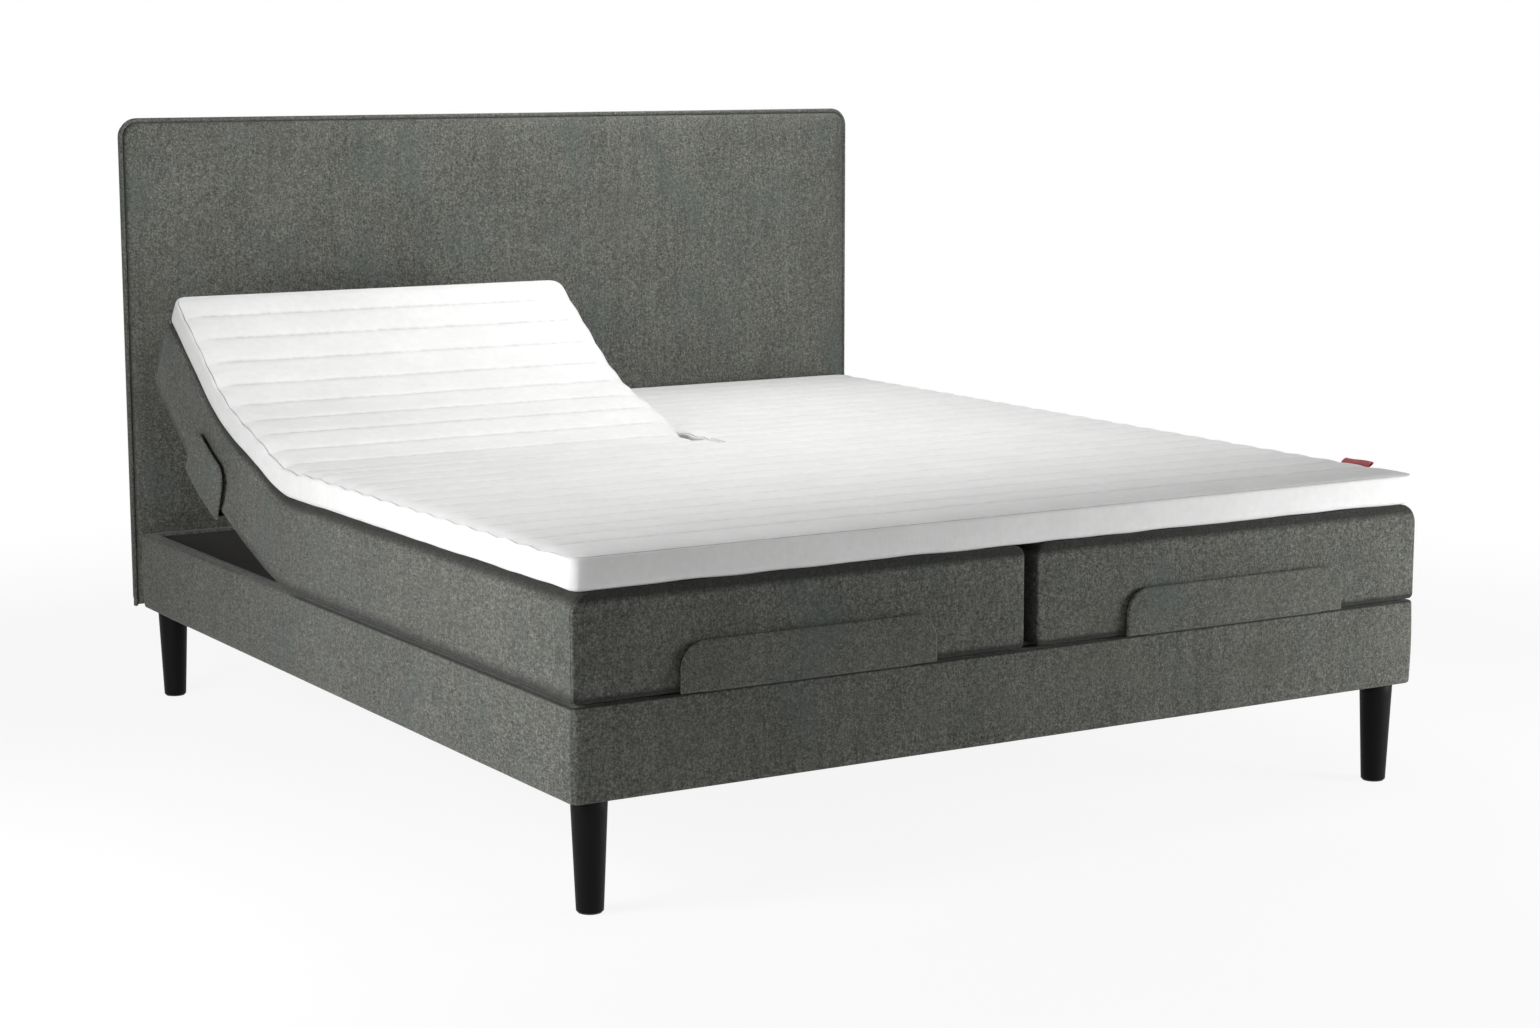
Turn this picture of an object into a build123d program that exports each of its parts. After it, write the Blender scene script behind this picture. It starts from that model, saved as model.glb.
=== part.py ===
from build123d import *
import math
import os

# Adjustable bed: an upholstered box on four legs, with a headboard, two lying units side by side
# and one topper over both. Millimetres, +Z up, +Y towards the headboard, floor at Z = 0.
# The left unit's head end (-X) is shown raised, the right unit lies flat.

# Base box
BASE_WIDTH = 1800.0
BASE_LENGTH = 2000.0
LEG_HEIGHT = 191.0
RAIL_HEIGHT = 160.0
RAIL_BOARD = 24.0
COVER_SIDE = 8.0
COVER_LIP = 5.0
COVER_ROUND = 6.0
CLEAT_WIDTH = 20.0
CLEAT_HEIGHT = 30.0
CLEAT_END_GAP = 30.0
BEAM_WIDTH = 60.0
BEAM_HEIGHT = 110.0
CORNER_BLOCK = 85.0
CORNER_BLOCK_HEIGHT = 45.0

# Legs
LEG_TOP_D = 62.0
LEG_FOOT_D = 46.0
LEG_INSET_X = 52.0
LEG_INSET_Y = 43.0
GLIDE_D = 40.0
GLIDE_HEIGHT = 6.0
STUD_D = 10.0
STUD_LENGTH = 32.0
STUD_CLEARANCE = 0.5
CENTRE_LEG_D = 50.0

# Lying surface, measured along the flat deck from the head end
NECK_LENGTH = 370.0
BACK_LENGTH = 395.0
SEAT_LENGTH = 255.0
THIGH_LENGTH = 350.0
DECK_OVER_RAIL = 4.0
DECK_THICK = 15.0
DECK_EDGE_GAP = 6.0
DECK_END_GAP = 20.0
DECK_REST_GAP = 0.3
UNIT_GAP = 20.0
SECTION_GAP = 28.0
AXIS_DROP = 20.0

# Angles of the sections
BACK_MAX = 60.0
NECK_MAX = 40.0
THIGH_MAX = 30.0
FOLD_SPARE = 1.0
LEFT_BACK_REST = 18.0
LEFT_NECK_REST = 17.0

# Hinge ears and pins
EAR_R = 13.0
EAR_THICK = 6.0
EAR_GAP = 0.5
EAR_INSET = 35.0
EAR_LENGTH = 50.0
PIN_D = 10.0
PIN_CLEARANCE = 0.05
PIN_PROUD = 1.5

# Lift shafts and drive units
TUBE_D = 30.0
TUBE_PROUD = 3.0
SHAFT_CLEARANCE = 0.05
SHAFT_DROP = 65.0
SHAFT_BOSS_R = 24.0
BACK_ARM = 170.0
LEG_ARM = 150.0
BACK_LIFT_RATIO = 2.04
ARM_THICK = 8.0
ARM_WIDTH = 34.0
ARM_SPREAD = 530.0
SHOE_R = 16.0
SHOE_WIDTH = 30.0
SHOE_GAP = 1.0
PLATE_BAR = 36.0
DRIVE_WIDTH = 120.0
DRIVE_HEIGHT = 74.0
DRIVE_BOSS_R = 30.0
DRIVE_ROUND = 10.0
MOTOR_D = 62.0
MOTOR_LENGTH = 150.0
MOTOR_OFFSET = 130.0

# Mattresses and topper
MATTRESS_THICK = 185.0
MATTRESS_TOP_R = 28.0
MATTRESS_LOW_R = 10.0
MATTRESS_END_R = 20.0
MATTRESS_BULGE = 3.0
MATTRESS_CROWN = 3.0
KNEE_GAP = 1.0
END_GAP = 2.0
TOPPER_THICK = 53.0
TOPPER_INSET = 3.0
TOPPER_GAP = 0.4
TOPPER_SPLIT_LENGTH = 970.0
TOPPER_SLIT = 6.0
CHANNEL_PITCH = 71.0
CHANNEL_RISE = 6.0
CHANNEL_BORDER = 14.0
TAG_LENGTH = 75.0
TAG_OUT = 14.0
TAG_THICK = 3.0
TAG_FROM_FOOT = 130.0

# Mattress retainers
FOOT_RETAINER_WIDTH = 500.0
FOOT_RETAINER_HEIGHT = 84.0
FOOT_RETAINER_THICK = 16.0
FOOT_RETAINER_R = 45.0
SIDE_RETAINER_LENGTH = 190.0
SIDE_RETAINER_HEIGHT = 112.0
SIDE_RETAINER_THICK = 10.0
SIDE_RETAINER_R = 40.0
SIDE_RETAINER_FROM_HINGE = 308.0
RETAINER_GAP = 1.5
RETAINER_ROUND = 4.0
TONGUE_THICK = 2.6
TONGUE_GAP = 0.4
SIDE_TONGUE = 45.0

# Headboard
HEADBOARD_WIDTH = 1824.0
HEADBOARD_BOTTOM = 193.0
HEADBOARD_TOP = 1237.0
HEADBOARD_R = 40.0
HEADBOARD_GAP = 1.0
PAD_DEPTH = 20.0
PAD_ROUND = 14.0
PANEL_DEPTH = 28.0
BORDER_DEPTH = 34.0
BORDER_WALL = 9.0
PIPING_D = 8.0
BOLT_D = 8.0
BOLT_CLEARANCE = 0.5
BOLT_HEAD_D = 16.0
BOLT_HEAD_HEIGHT = 6.0
BOLT_IN_PANEL = 16.0
BOLT_SPAN = 1200.0
BOLT_LOW = 60.0
BOLT_PITCH = 70.0

# Control box
BOX_WIDTH = 190.0
BOX_DEPTH = 60.0
BOX_HEIGHT = 80.0
BOX_ROUND = 6.0
BOX_FROM_CENTRE = 90.0
BOX_LIFT = 25.0
INLET_WIDTH = 24.0
INLET_HEIGHT = 14.0
INLET_DEPTH = 14.0

# Levels and stations that follow from the sizes above
HALF_WIDTH = BASE_WIDTH / 2
HALF_LENGTH = BASE_LENGTH / 2
RAIL_WALL = COVER_SIDE + RAIL_BOARD
RAIL_TOP = LEG_HEIGHT + RAIL_HEIGHT
DECK_TOP = RAIL_TOP + DECK_OVER_RAIL
DECK_LOW = DECK_TOP - DECK_THICK
REST_Z = DECK_LOW - DECK_REST_GAP
AXIS_Z = DECK_TOP - AXIS_DROP
MATTRESS_TOP = DECK_TOP + MATTRESS_THICK
SHAFT_Z = AXIS_Z - SHAFT_DROP
HEAD_END = HALF_LENGTH - END_GAP
FOOT_END = -HALF_LENGTH + END_GAP / 2
NECK_Y = HALF_LENGTH - NECK_LENGTH
BACK_Y = NECK_Y - BACK_LENGTH
THIGH_Y = BACK_Y - SEAT_LENGTH
KNEE_Y = THIGH_Y - THIGH_LENGTH
BACK_SHAFT_Y = BACK_Y + BACK_ARM
LEG_SHAFT_Y = THIGH_Y - LEG_ARM
SPLIT_Y = HALF_LENGTH - TOPPER_SPLIT_LENGTH
DECK_IN = UNIT_GAP / 2 + DECK_REST_GAP * 10
DECK_OUT = HALF_WIDTH - RAIL_WALL - DECK_EDGE_GAP
MATTRESS_IN = UNIT_GAP / 2
PLATE_OUT = DECK_OUT - EAR_INSET + EAR_THICK
PLATE_IN = BEAM_WIDTH / 2 + TUBE_PROUD + EAR_THICK
UNIT_MID = (DECK_IN + DECK_OUT) / 2
HEADBOARD_FRONT = HALF_LENGTH + HEADBOARD_GAP
HEADBOARD_SEAM = HEADBOARD_FRONT + PAD_DEPTH
HEADBOARD_BACK = HEADBOARD_SEAM + BORDER_DEPTH
RETAINER_FRONT = -HALF_LENGTH - RETAINER_GAP - FOOT_RETAINER_THICK
CENTRE_SHIFT = -(HEADBOARD_BACK + RETAINER_FRONT) / 2

X_AXIS = (1, 0, 0)
HALF_BACK = (BACK_MAX + FOLD_SPARE) / 2
HALF_NECK = (NECK_MAX + FOLD_SPARE) / 2
HALF_THIGH = (THIGH_MAX + FOLD_SPARE) / 2

parts = {}


def block(x0, x1, y0, y1, z0, z1):
    """A box between two corners."""
    centre = Pos((x0 + x1) / 2, (y0 + y1) / 2, (z0 + z1) / 2)
    return centre * Box(x1 - x0, y1 - y0, z1 - z0)


def prism_x(sketch, x0, x1):
    """A (Y, Z) sketch drawn out along X."""
    return extrude(Plane.YZ.offset(x0) * sketch, amount=x1 - x0)


def prism_y(sketch, y0, y1):
    """An (X, Z) sketch drawn out along Y."""
    return extrude(Plane.XZ.offset(-y1) * sketch, amount=y1 - y0)


def prism_z(sketch, z0, z1):
    """An (X, Y) sketch drawn out along Z."""
    return extrude(Plane.XY.offset(z0) * sketch, amount=z1 - z0)


def rod_x(y, z, radius, x0, x1):
    """A round bar along X."""
    return prism_x(Pos(y, z) * Circle(radius), x0, x1)


def polygon(points):
    """A flat face with straight sides."""
    return make_face(Polyline(*points, close=True))


def rectangle(a0, a1, b0, b1):
    """A flat rectangle between two corners."""
    return Pos((a0 + a1) / 2, (b0 + b1) / 2) * Rectangle(a1 - a0, b1 - b0)


def turned(shape, y, angle, z=AXIS_Z):
    """The shape turned about an X axis through (y, z), head side up for a positive angle."""
    return shape.rotate(Axis((0, y, z), X_AXIS), angle)


def both_sides(shape):
    """The shape of the +X side and its mirror image."""
    return [shape, mirror(shape, about=Plane.YZ)]


def cut_all(shape, *tools):
    """The shape less each tool."""
    for tool in tools:
        shape = shape - tool
    return shape


# Base box


def rail_plan(inset):
    """Plan outlines of the four mitred rails whose outer faces lie inset inside the box."""
    x, y = HALF_WIDTH - inset, HALF_LENGTH - inset
    u, v = HALF_WIDTH - RAIL_WALL, HALF_LENGTH - RAIL_WALL
    return {
        "left": [(-x, -y), (-u, -v), (-u, v), (-x, y)],
        "right": [(x, -y), (x, y), (u, v), (u, -v)],
        "foot": [(-x, -y), (x, -y), (u, -v), (-u, -v)],
        "head": [(-x, y), (-u, v), (u, v), (x, y)],
    }


def outer_edges(shape, side):
    """The long outer edges of a rail cover, at its top and bottom."""
    axis = Axis.X if side in ("left", "right") else Axis.Y
    along = Axis.Y if side in ("left", "right") else Axis.X
    last = -1 if side in ("right", "head") else 0
    return shape.edges().filter_by(along).group_by(axis)[last]


def bolt_places():
    """Places (x, z) of the bolts that hold the headboard to the head rail."""
    low = LEG_HEIGHT + BOLT_LOW
    return [(sx * BOLT_SPAN / 2, z) for sx in (-1, 1) for z in (low, low + BOLT_PITCH)]


def bolt_hole(x, z):
    """The hole for one headboard bolt."""
    hole = Pos(x, z) * Circle(BOLT_D / 2 + BOLT_CLEARANCE)
    return prism_y(hole, HALF_LENGTH - RAIL_WALL, HEADBOARD_SEAM + BOLT_IN_PANEL + BOLT_CLEARANCE)


def make_rails():
    """Four mitred boards, each with a padded fabric cover wrapped over its outside, top and bottom."""
    holes = [bolt_hole(x, z) for x, z in bolt_places()]
    boards = rail_plan(COVER_SIDE)
    covers = rail_plan(0.0)
    names = {"left": "side_rail_left", "right": "side_rail_right", "foot": "foot_rail", "head": "head_rail"}
    for side, name in names.items():
        board = prism_z(polygon(boards[side]), LEG_HEIGHT + COVER_LIP, RAIL_TOP - COVER_LIP)
        cover = prism_z(polygon(covers[side]), LEG_HEIGHT, RAIL_TOP)
        cover = fillet(outer_edges(cover, side), COVER_ROUND) - board
        if side == "head":
            board = cut_all(board, *holes)
            cover = cut_all(cover, *holes)
        parts[name] = board
        parts["rail_cover_" + side] = cover


def make_supports():
    """Side cleats, centre beam with its leg, corner blocks, corner legs and glides."""
    inner_x, inner_y = HALF_WIDTH - RAIL_WALL, HALF_LENGTH - RAIL_WALL
    run = inner_y - CLEAT_END_GAP
    parts["support_cleats"] = both_sides(
        block(inner_x - CLEAT_WIDTH, inner_x, -run, run, REST_Z - CLEAT_HEIGHT, REST_Z)
    )
    half_beam = BEAM_WIDTH / 2
    beam_low = REST_Z - BEAM_HEIGHT
    parts["centre_beam"] = block(-half_beam, half_beam, -inner_y, inner_y, beam_low, REST_Z)
    glides = [Pos(0, 0, GLIDE_HEIGHT / 2) * Cylinder(GLIDE_D / 2, GLIDE_HEIGHT)]
    post = prism_z(Circle(CENTRE_LEG_D / 2), GLIDE_HEIGHT, beam_low)
    parts["centre_leg"] = post

    leg_x, leg_y = HALF_WIDTH - LEG_INSET_X, HALF_LENGTH - LEG_INSET_Y
    blocks = []
    for sx, x_name in ((-1, "left"), (1, "right")):
        for sy, y_name in ((-1, "front"), (1, "rear")):
            corner = [(0, 0), (CORNER_BLOCK, 0), (0, CORNER_BLOCK)]
            plan = [(sx * (inner_x - a), sy * (inner_y - b)) for a, b in corner]
            wedge = prism_z(polygon(plan), LEG_HEIGHT, LEG_HEIGHT + CORNER_BLOCK_HEIGHT)
            place = Pos(sx * leg_x, sy * leg_y)
            hole = prism_z(Circle(STUD_D / 2 + STUD_CLEARANCE), LEG_HEIGHT, LEG_HEIGHT + CORNER_BLOCK_HEIGHT)
            blocks.append(wedge - place * hole)
            shank = loft([
                Plane.XY.offset(GLIDE_HEIGHT) * Circle(LEG_FOOT_D / 2),
                Plane.XY.offset(LEG_HEIGHT) * Circle(LEG_TOP_D / 2),
            ])
            stud = prism_z(Circle(STUD_D / 2), LEG_HEIGHT, LEG_HEIGHT + STUD_LENGTH)
            parts["leg_" + y_name + "_" + x_name] = place * (shank + stud)
            glides.append(place * Pos(0, 0, GLIDE_HEIGHT / 2) * Cylinder(GLIDE_D / 2, GLIDE_HEIGHT))
    parts["corner_blocks"] = blocks
    parts["leg_glides"] = glides


# Headboard


def headboard_face(inset):
    """The headboard's outline in (X, Z), inset from its outer edge."""
    width = HEADBOARD_WIDTH - 2 * inset
    height = HEADBOARD_TOP - HEADBOARD_BOTTOM - 2 * inset
    middle = (HEADBOARD_TOP + HEADBOARD_BOTTOM) / 2
    return Pos(0, middle) * RectangleRounded(width, height, HEADBOARD_R - inset)


def make_headboard():
    """Padded front, board, fabric border round the edge and a piped seam between front and border."""
    holes = [bolt_hole(x, z) for x, z in bolt_places()]
    seam = headboard_face(PIPING_D / 2)
    path = Plane.XZ.offset(-HEADBOARD_SEAM) * seam.face().outer_wire()
    start = Plane(path @ 0, z_dir=path % 0)
    piping = sweep(start * Circle(PIPING_D / 2), path=path)
    pad = prism_y(seam, HEADBOARD_FRONT, HEADBOARD_SEAM)
    pad = fillet(pad.edges().group_by(Axis.Y)[0], PAD_ROUND)
    border = headboard_face(0.0) - headboard_face(BORDER_WALL)
    panel = prism_y(headboard_face(BORDER_WALL), HEADBOARD_SEAM, HEADBOARD_SEAM + PANEL_DEPTH)
    parts["headboard_pad"] = cut_all(pad, piping, *holes)
    parts["headboard_panel"] = cut_all(panel, *holes)
    parts["headboard_border"] = prism_y(border, HEADBOARD_SEAM, HEADBOARD_BACK) - piping
    parts["headboard_piping"] = piping
    bolts = []
    inside = HALF_LENGTH - RAIL_WALL
    for x, z in bolt_places():
        shank = prism_y(Pos(x, z) * Circle(BOLT_D / 2), inside, HEADBOARD_SEAM + BOLT_IN_PANEL)
        head = prism_y(Pos(x, z) * Circle(BOLT_HEAD_D / 2), inside - BOLT_HEAD_HEIGHT, inside)
        bolts.append(shank + head)
    parts["headboard_bolts"] = bolts


def make_control_box():
    """The electronics case on the head rail, with a recessed mains inlet in its underside."""
    back = HALF_LENGTH - RAIL_WALL
    low = LEG_HEIGHT + BOX_LIFT
    middle = BOX_FROM_CENTRE + BOX_WIDTH / 2
    case = block(BOX_FROM_CENTRE, BOX_FROM_CENTRE + BOX_WIDTH, back - BOX_DEPTH, back, low, low + BOX_HEIGHT)
    case = fillet(case.edges().filter_by(Axis.X), BOX_ROUND)
    mid_y = back - BOX_DEPTH / 2
    inlet = block(
        middle - INLET_WIDTH / 2, middle + INLET_WIDTH / 2,
        mid_y - INLET_HEIGHT / 2, mid_y + INLET_HEIGHT / 2,
        low, low + INLET_DEPTH,
    )
    parts["control_box"] = case - inlet


# Lying units, drawn on the +X side and mirrored for the left


def ear(y, towards, x0):
    """A hinge ear plate at an axis, reaching under the section on one side of it."""
    strap = rectangle(*sorted((y, y + towards * EAR_LENGTH)), AXIS_Z - EAR_R, DECK_LOW)
    return prism_x(Pos(y, AXIS_Z) * Circle(EAR_R) + strap, x0, x0 + EAR_THICK)


def ear_planes(inner):
    """Start of the two ear plates in X: the fixed pair, or the moving pair just inside it."""
    step = EAR_THICK + EAR_GAP if inner else 0.0
    return [PLATE_OUT - EAR_THICK - step, PLATE_IN - EAR_THICK + step]


def bored_ears(y, towards):
    """The pair of ears with a running bore for the hinge pins."""
    ears = [ear(y, towards, x0) for x0 in ear_planes(False)]
    holes = [rod_x(y, AXIS_Z, PIN_D / 2 + PIN_CLEARANCE, x0, x0 + EAR_THICK) for x0 in ear_planes(False)]
    return ears, holes


def pinned_ears(y, towards):
    """The pair of ears that carry the hinge pins, which stand outward through the bored ears."""
    ears = [ear(y, towards, x0) for x0 in ear_planes(True)]
    reach = 2 * EAR_THICK + EAR_GAP + PIN_PROUD
    out, inner = ear_planes(True)
    ears.append(rod_x(y, AXIS_Z, PIN_D / 2, out, out + reach))
    ears.append(rod_x(y, AXIS_Z, PIN_D / 2, inner + EAR_THICK - reach, inner + EAR_THICK))
    return ears


def deck(y0, y1):
    """A section's board."""
    return block(DECK_IN, DECK_OUT, y0, y1, DECK_LOW, DECK_TOP)


def section(y0, y1, pins, bores):
    """A moving section: a board with pinned ears and bored ears at the given (y, direction)."""
    shape = deck(y0, y1)
    for y, towards in pins:
        for piece in pinned_ears(y, towards):
            shape = shape + piece
    for y, towards in bores:
        ears, holes = bored_ears(y, towards)
        for piece in ears:
            shape = shape + piece
        shape = cut_all(shape, *holes)
    return shape


def seat_tray():
    """The fixed seat: a board on two side plates that carry the hinges and both lift shafts."""
    half_gap = SECTION_GAP / 2
    bar_low, bar_top = SHAFT_Z - PLATE_BAR / 2, SHAFT_Z + PLATE_BAR / 2
    side = rectangle(LEG_SHAFT_Y, BACK_SHAFT_Y, bar_low, bar_top)
    side += rectangle(THIGH_Y + half_gap, BACK_Y - half_gap, bar_low, DECK_LOW)
    for y in (LEG_SHAFT_Y, BACK_SHAFT_Y):
        side += Pos(y, SHAFT_Z) * Circle(SHAFT_BOSS_R)
    tray = deck(THIGH_Y + half_gap, BACK_Y - half_gap)
    holes = []
    for x0 in ear_planes(False):
        tray = tray + prism_x(side, x0, x0 + EAR_THICK)
        for y in (LEG_SHAFT_Y, BACK_SHAFT_Y):
            holes.append(rod_x(y, SHAFT_Z, TUBE_D / 2 + SHAFT_CLEARANCE, x0, x0 + EAR_THICK))
    for y, towards in ((BACK_Y, -1), (THIGH_Y, 1)):
        ears, bores = bored_ears(y, towards)
        for piece in ears:
            tray = tray + piece
        holes += bores
    return cut_all(tray, *holes)


def arm_start(reach):
    """The angle of a lift arm, above level, when its section lies flat with the shoe just under it."""
    under = AXIS_DROP - DECK_THICK
    return math.degrees(math.asin((under - SHOE_R - SHOE_GAP + SHAFT_DROP) / reach))


def lift_shaft(y, towards, reach, angle):
    """A cross tube with two lift arms, each ending in a round slide shoe under its section."""
    x_out, x_in = PLATE_OUT + TUBE_PROUD, PLATE_IN - EAR_THICK - TUBE_PROUD
    shape = rod_x(y, SHAFT_Z, TUBE_D / 2, x_in, x_out)
    for x in (UNIT_MID - ARM_SPREAD / 2, UNIT_MID + ARM_SPREAD / 2):
        bar = rectangle(*sorted((y, y + towards * reach)), SHAFT_Z - ARM_WIDTH / 2, SHAFT_Z + ARM_WIDTH / 2)
        bar += Pos(y, SHAFT_Z) * Circle(SHAFT_BOSS_R)
        arm = prism_x(bar, x - ARM_THICK / 2, x + ARM_THICK / 2)
        shoe = rod_x(y + towards * reach, SHAFT_Z, SHOE_R, x - SHOE_WIDTH / 2, x + SHOE_WIDTH / 2)
        tip = y + towards * (reach - ARM_WIDTH / 2)
        end = rectangle(*sorted((tip, y + towards * (reach + ARM_WIDTH))), SHAFT_Z - ARM_WIDTH, SHAFT_Z + ARM_WIDTH)
        arm = arm - prism_x(end, x - ARM_THICK / 2, x + ARM_THICK / 2)
        neck = rectangle(*sorted((tip, y + towards * reach)), SHAFT_Z - SHOE_R / 2, SHAFT_Z + SHOE_R / 2)
        shape = shape + arm + prism_x(neck, x - ARM_THICK / 2, x + ARM_THICK / 2) + shoe
    return turned(shape, y, towards * angle, SHAFT_Z)


def drive_unit():
    """The twin drive: one long case that hangs on both lift shafts, with a motor can at each end."""
    x0, x1 = UNIT_MID - DRIVE_WIDTH / 2, UNIT_MID + DRIVE_WIDTH / 2
    side = rectangle(LEG_SHAFT_Y, BACK_SHAFT_Y, SHAFT_Z - DRIVE_HEIGHT / 2, SHAFT_Z + DRIVE_HEIGHT / 2)
    side = fillet(side.vertices(), DRIVE_ROUND)
    for y in (LEG_SHAFT_Y, BACK_SHAFT_Y):
        side += Pos(y, SHAFT_Z) * Circle(DRIVE_BOSS_R)
    case = prism_x(side, x0, x1)
    for y in (LEG_SHAFT_Y + MOTOR_OFFSET, BACK_SHAFT_Y - MOTOR_OFFSET):
        can = rod_x(y, SHAFT_Z, MOTOR_D / 2, UNIT_MID - MOTOR_LENGTH / 2, UNIT_MID + MOTOR_LENGTH / 2)
        case = case + can
    bores = [rod_x(y, SHAFT_Z, TUBE_D / 2 + SHAFT_CLEARANCE, x0, x1) for y in (LEG_SHAFT_Y, BACK_SHAFT_Y)]
    return cut_all(case, *bores)


# Mattresses


def quarter(cx, cz, radius, side, up):
    """Three points of a rounded corner about (cx, cz), from the side face to the top or bottom."""
    share = radius * math.sqrt(0.5)
    return (cx + side * radius, cz), (cx + side * share, cz + up * share), (cx, cz + up * radius)


def cushion_profile():
    """The mattress in (X, Z): a crowned top and full sides that draw in to rounded edges."""
    x0, x1, z0, z1 = MATTRESS_IN, HALF_WIDTH, DECK_TOP, MATTRESS_TOP
    low_r, top_r = MATTRESS_LOW_R, MATTRESS_TOP_R
    low_z, top_z = z0 + low_r, z1 - MATTRESS_CROWN - top_r
    a, b = x0 + MATTRESS_BULGE, x1 - MATTRESS_BULGE
    right_low = quarter(b - low_r, low_z, low_r, 1, -1)
    right_top = quarter(b - top_r, top_z, top_r, 1, 1)
    left_low = quarter(a + low_r, low_z, low_r, -1, -1)
    left_top = quarter(a + top_r, top_z, top_r, -1, 1)
    middle = (low_z + top_z) / 2
    edges = [
        Line(left_low[2], right_low[2]),
        ThreePointArc(*right_low),
        ThreePointArc(right_low[0], (x1, middle), right_top[0]),
        ThreePointArc(*right_top),
        ThreePointArc(right_top[2], ((x0 + x1) / 2, z1), left_top[2]),
        ThreePointArc(*left_top),
        ThreePointArc(left_top[0], (x0, middle), left_low[0]),
        ThreePointArc(*left_low),
    ]
    return make_face(edges)


def lean(y, half, towards, z):
    """Y of a fold face at a level: it leans away from its hinge axis by half the fold's full angle."""
    return y + towards * (z - AXIS_Z) * math.tan(math.radians(half))


def cushion(low_0, top_0, low_1, top_1, rounded_end=None):
    """A length of mattress between two end faces, given in Y at its underside and its top."""
    outline = polygon([(low_0, DECK_TOP), (low_1, DECK_TOP), (top_1, MATTRESS_TOP), (top_0, MATTRESS_TOP)])
    if rounded_end is not None:
        outline = fillet(outline.vertices().group_by(Axis.X)[rounded_end], MATTRESS_END_R)
    y0, y1 = min(low_0, top_0), max(low_1, top_1)
    return prism_x(outline, MATTRESS_IN, HALF_WIDTH) & prism_y(cushion_profile(), y0, y1)


def fold_face(y, half, towards):
    """A fold face at a hinge, as its Y at the mattress's underside and at its top."""
    return lean(y, half, towards, DECK_TOP), lean(y, half, towards, MATTRESS_TOP)


def spun(point, y, angle):
    """A (Y, Z) point turned about a hinge axis."""
    turn = math.radians(angle)
    dy, dz = point[0] - y, point[1] - AXIS_Z
    return y + dy * math.cos(turn) - dz * math.sin(turn), AXIS_Z + dy * math.sin(turn) + dz * math.cos(turn)


def fold_corners(y, half, angle):
    """The four corners of the soft wedge in a fold whose head side is raised by an angle."""
    foot_low, foot_top = fold_face(y, half, -1)
    head_low, head_top = fold_face(y, half, 1)
    fixed = [(foot_low, DECK_TOP), (foot_top, MATTRESS_TOP)]
    moved = [spun(p, y, angle) for p in ((head_top, MATTRESS_TOP), (head_low, DECK_TOP))]
    return fixed + moved


def fold_wedge(y, half, angle):
    """The soft wedge of mattress that fills a fold and is squeezed when it closes."""
    inset = MATTRESS_BULGE
    return prism_x(polygon(fold_corners(y, half, angle)), MATTRESS_IN + inset, HALF_WIDTH - inset)


# Topper


def offset_path(path, distance):
    """A (Y, Z) path moved sideways to its upper side, mitred at its corners."""
    normals = []
    for (y0, z0), (y1, z1) in zip(path, path[1:]):
        length = math.hypot(y1 - y0, z1 - z0)
        normals.append((-(z1 - z0) / length, (y1 - y0) / length))
    before, after = [normals[0]] + normals, normals + [normals[-1]]
    moved = []
    for (y, z), a, b in zip(path, before, after):
        share = distance / (1 + a[0] * b[0] + a[1] * b[1])
        moved.append((y + (a[0] + b[0]) * share, z + (a[1] + b[1]) * share))
    return moved


def along(path, run):
    """The point at a distance along a path."""
    for (y0, z0), (y1, z1) in zip(path, path[1:]):
        length = math.hypot(y1 - y0, z1 - z0)
        if run <= length:
            return y0 + (y1 - y0) * run / length, z0 + (z1 - z0) * run / length
        run -= length
    return path[-1]


def quilted(path):
    """The topper's side outline over a path: a plain underside and sewn channels on top."""
    low = offset_path(path, TOPPER_GAP)
    seam = offset_path(path, TOPPER_THICK - CHANNEL_RISE)
    total = sum(math.dist(a, b) for a, b in zip(seam, seam[1:]))
    count = max(1, round((total - 2 * CHANNEL_BORDER) / CHANNEL_PITCH))
    pitch = (total - 2 * CHANNEL_BORDER) / count
    sewn = [along(seam, CHANNEL_BORDER + i * pitch) for i in range(count + 1)]
    edges = [Polyline(seam[0], sewn[0])]
    for (y0, z0), (y1, z1) in zip(sewn, sewn[1:]):
        chord = math.hypot(y1 - y0, z1 - z0)
        crest = (
            (y0 + y1) / 2 - (z1 - z0) / chord * CHANNEL_RISE,
            (z0 + z1) / 2 + (y1 - y0) / chord * CHANNEL_RISE,
        )
        edges.append(ThreePointArc((y0, z0), crest, (y1, z1)))
    edges.append(Polyline(sewn[-1], seam[-1]))
    edges.append(Polyline(seam[-1], *reversed(low), seam[0]))
    return make_face(edges)


def topper_flap(back, neck):
    """One head flap of the topper, following the mattress from the end of the slit to the head."""
    first = fold_corners(BACK_Y, HALF_BACK, back)
    second = [spun(p, BACK_Y, back) for p in fold_corners(NECK_Y, HALF_NECK, neck)]
    end = spun(spun((HEAD_END, MATTRESS_TOP), NECK_Y, neck), BACK_Y, back)
    path = [(SPLIT_Y + TOPPER_GAP, MATTRESS_TOP), first[1], first[2], second[1], second[2], end]
    return prism_x(quilted(path), TOPPER_SLIT / 2, HALF_WIDTH - TOPPER_INSET)


def make_topper_foot():
    """The topper's undivided foot half, and the folded fabric tag sewn in its side seam."""
    side = HALF_WIDTH - TOPPER_INSET
    path = [(FOOT_END, MATTRESS_TOP), (SPLIT_Y, MATTRESS_TOP)]
    parts["topper_foot"] = prism_x(quilted(path), -side, side)
    y0 = FOOT_END + TAG_FROM_FOOT
    z1 = MATTRESS_TOP + TOPPER_THICK - CHANNEL_RISE
    parts["fabric_tag"] = block(side, side + TAG_OUT, y0, y0 + TAG_LENGTH, z1 - TAG_THICK, z1)


# Retainers


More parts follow.
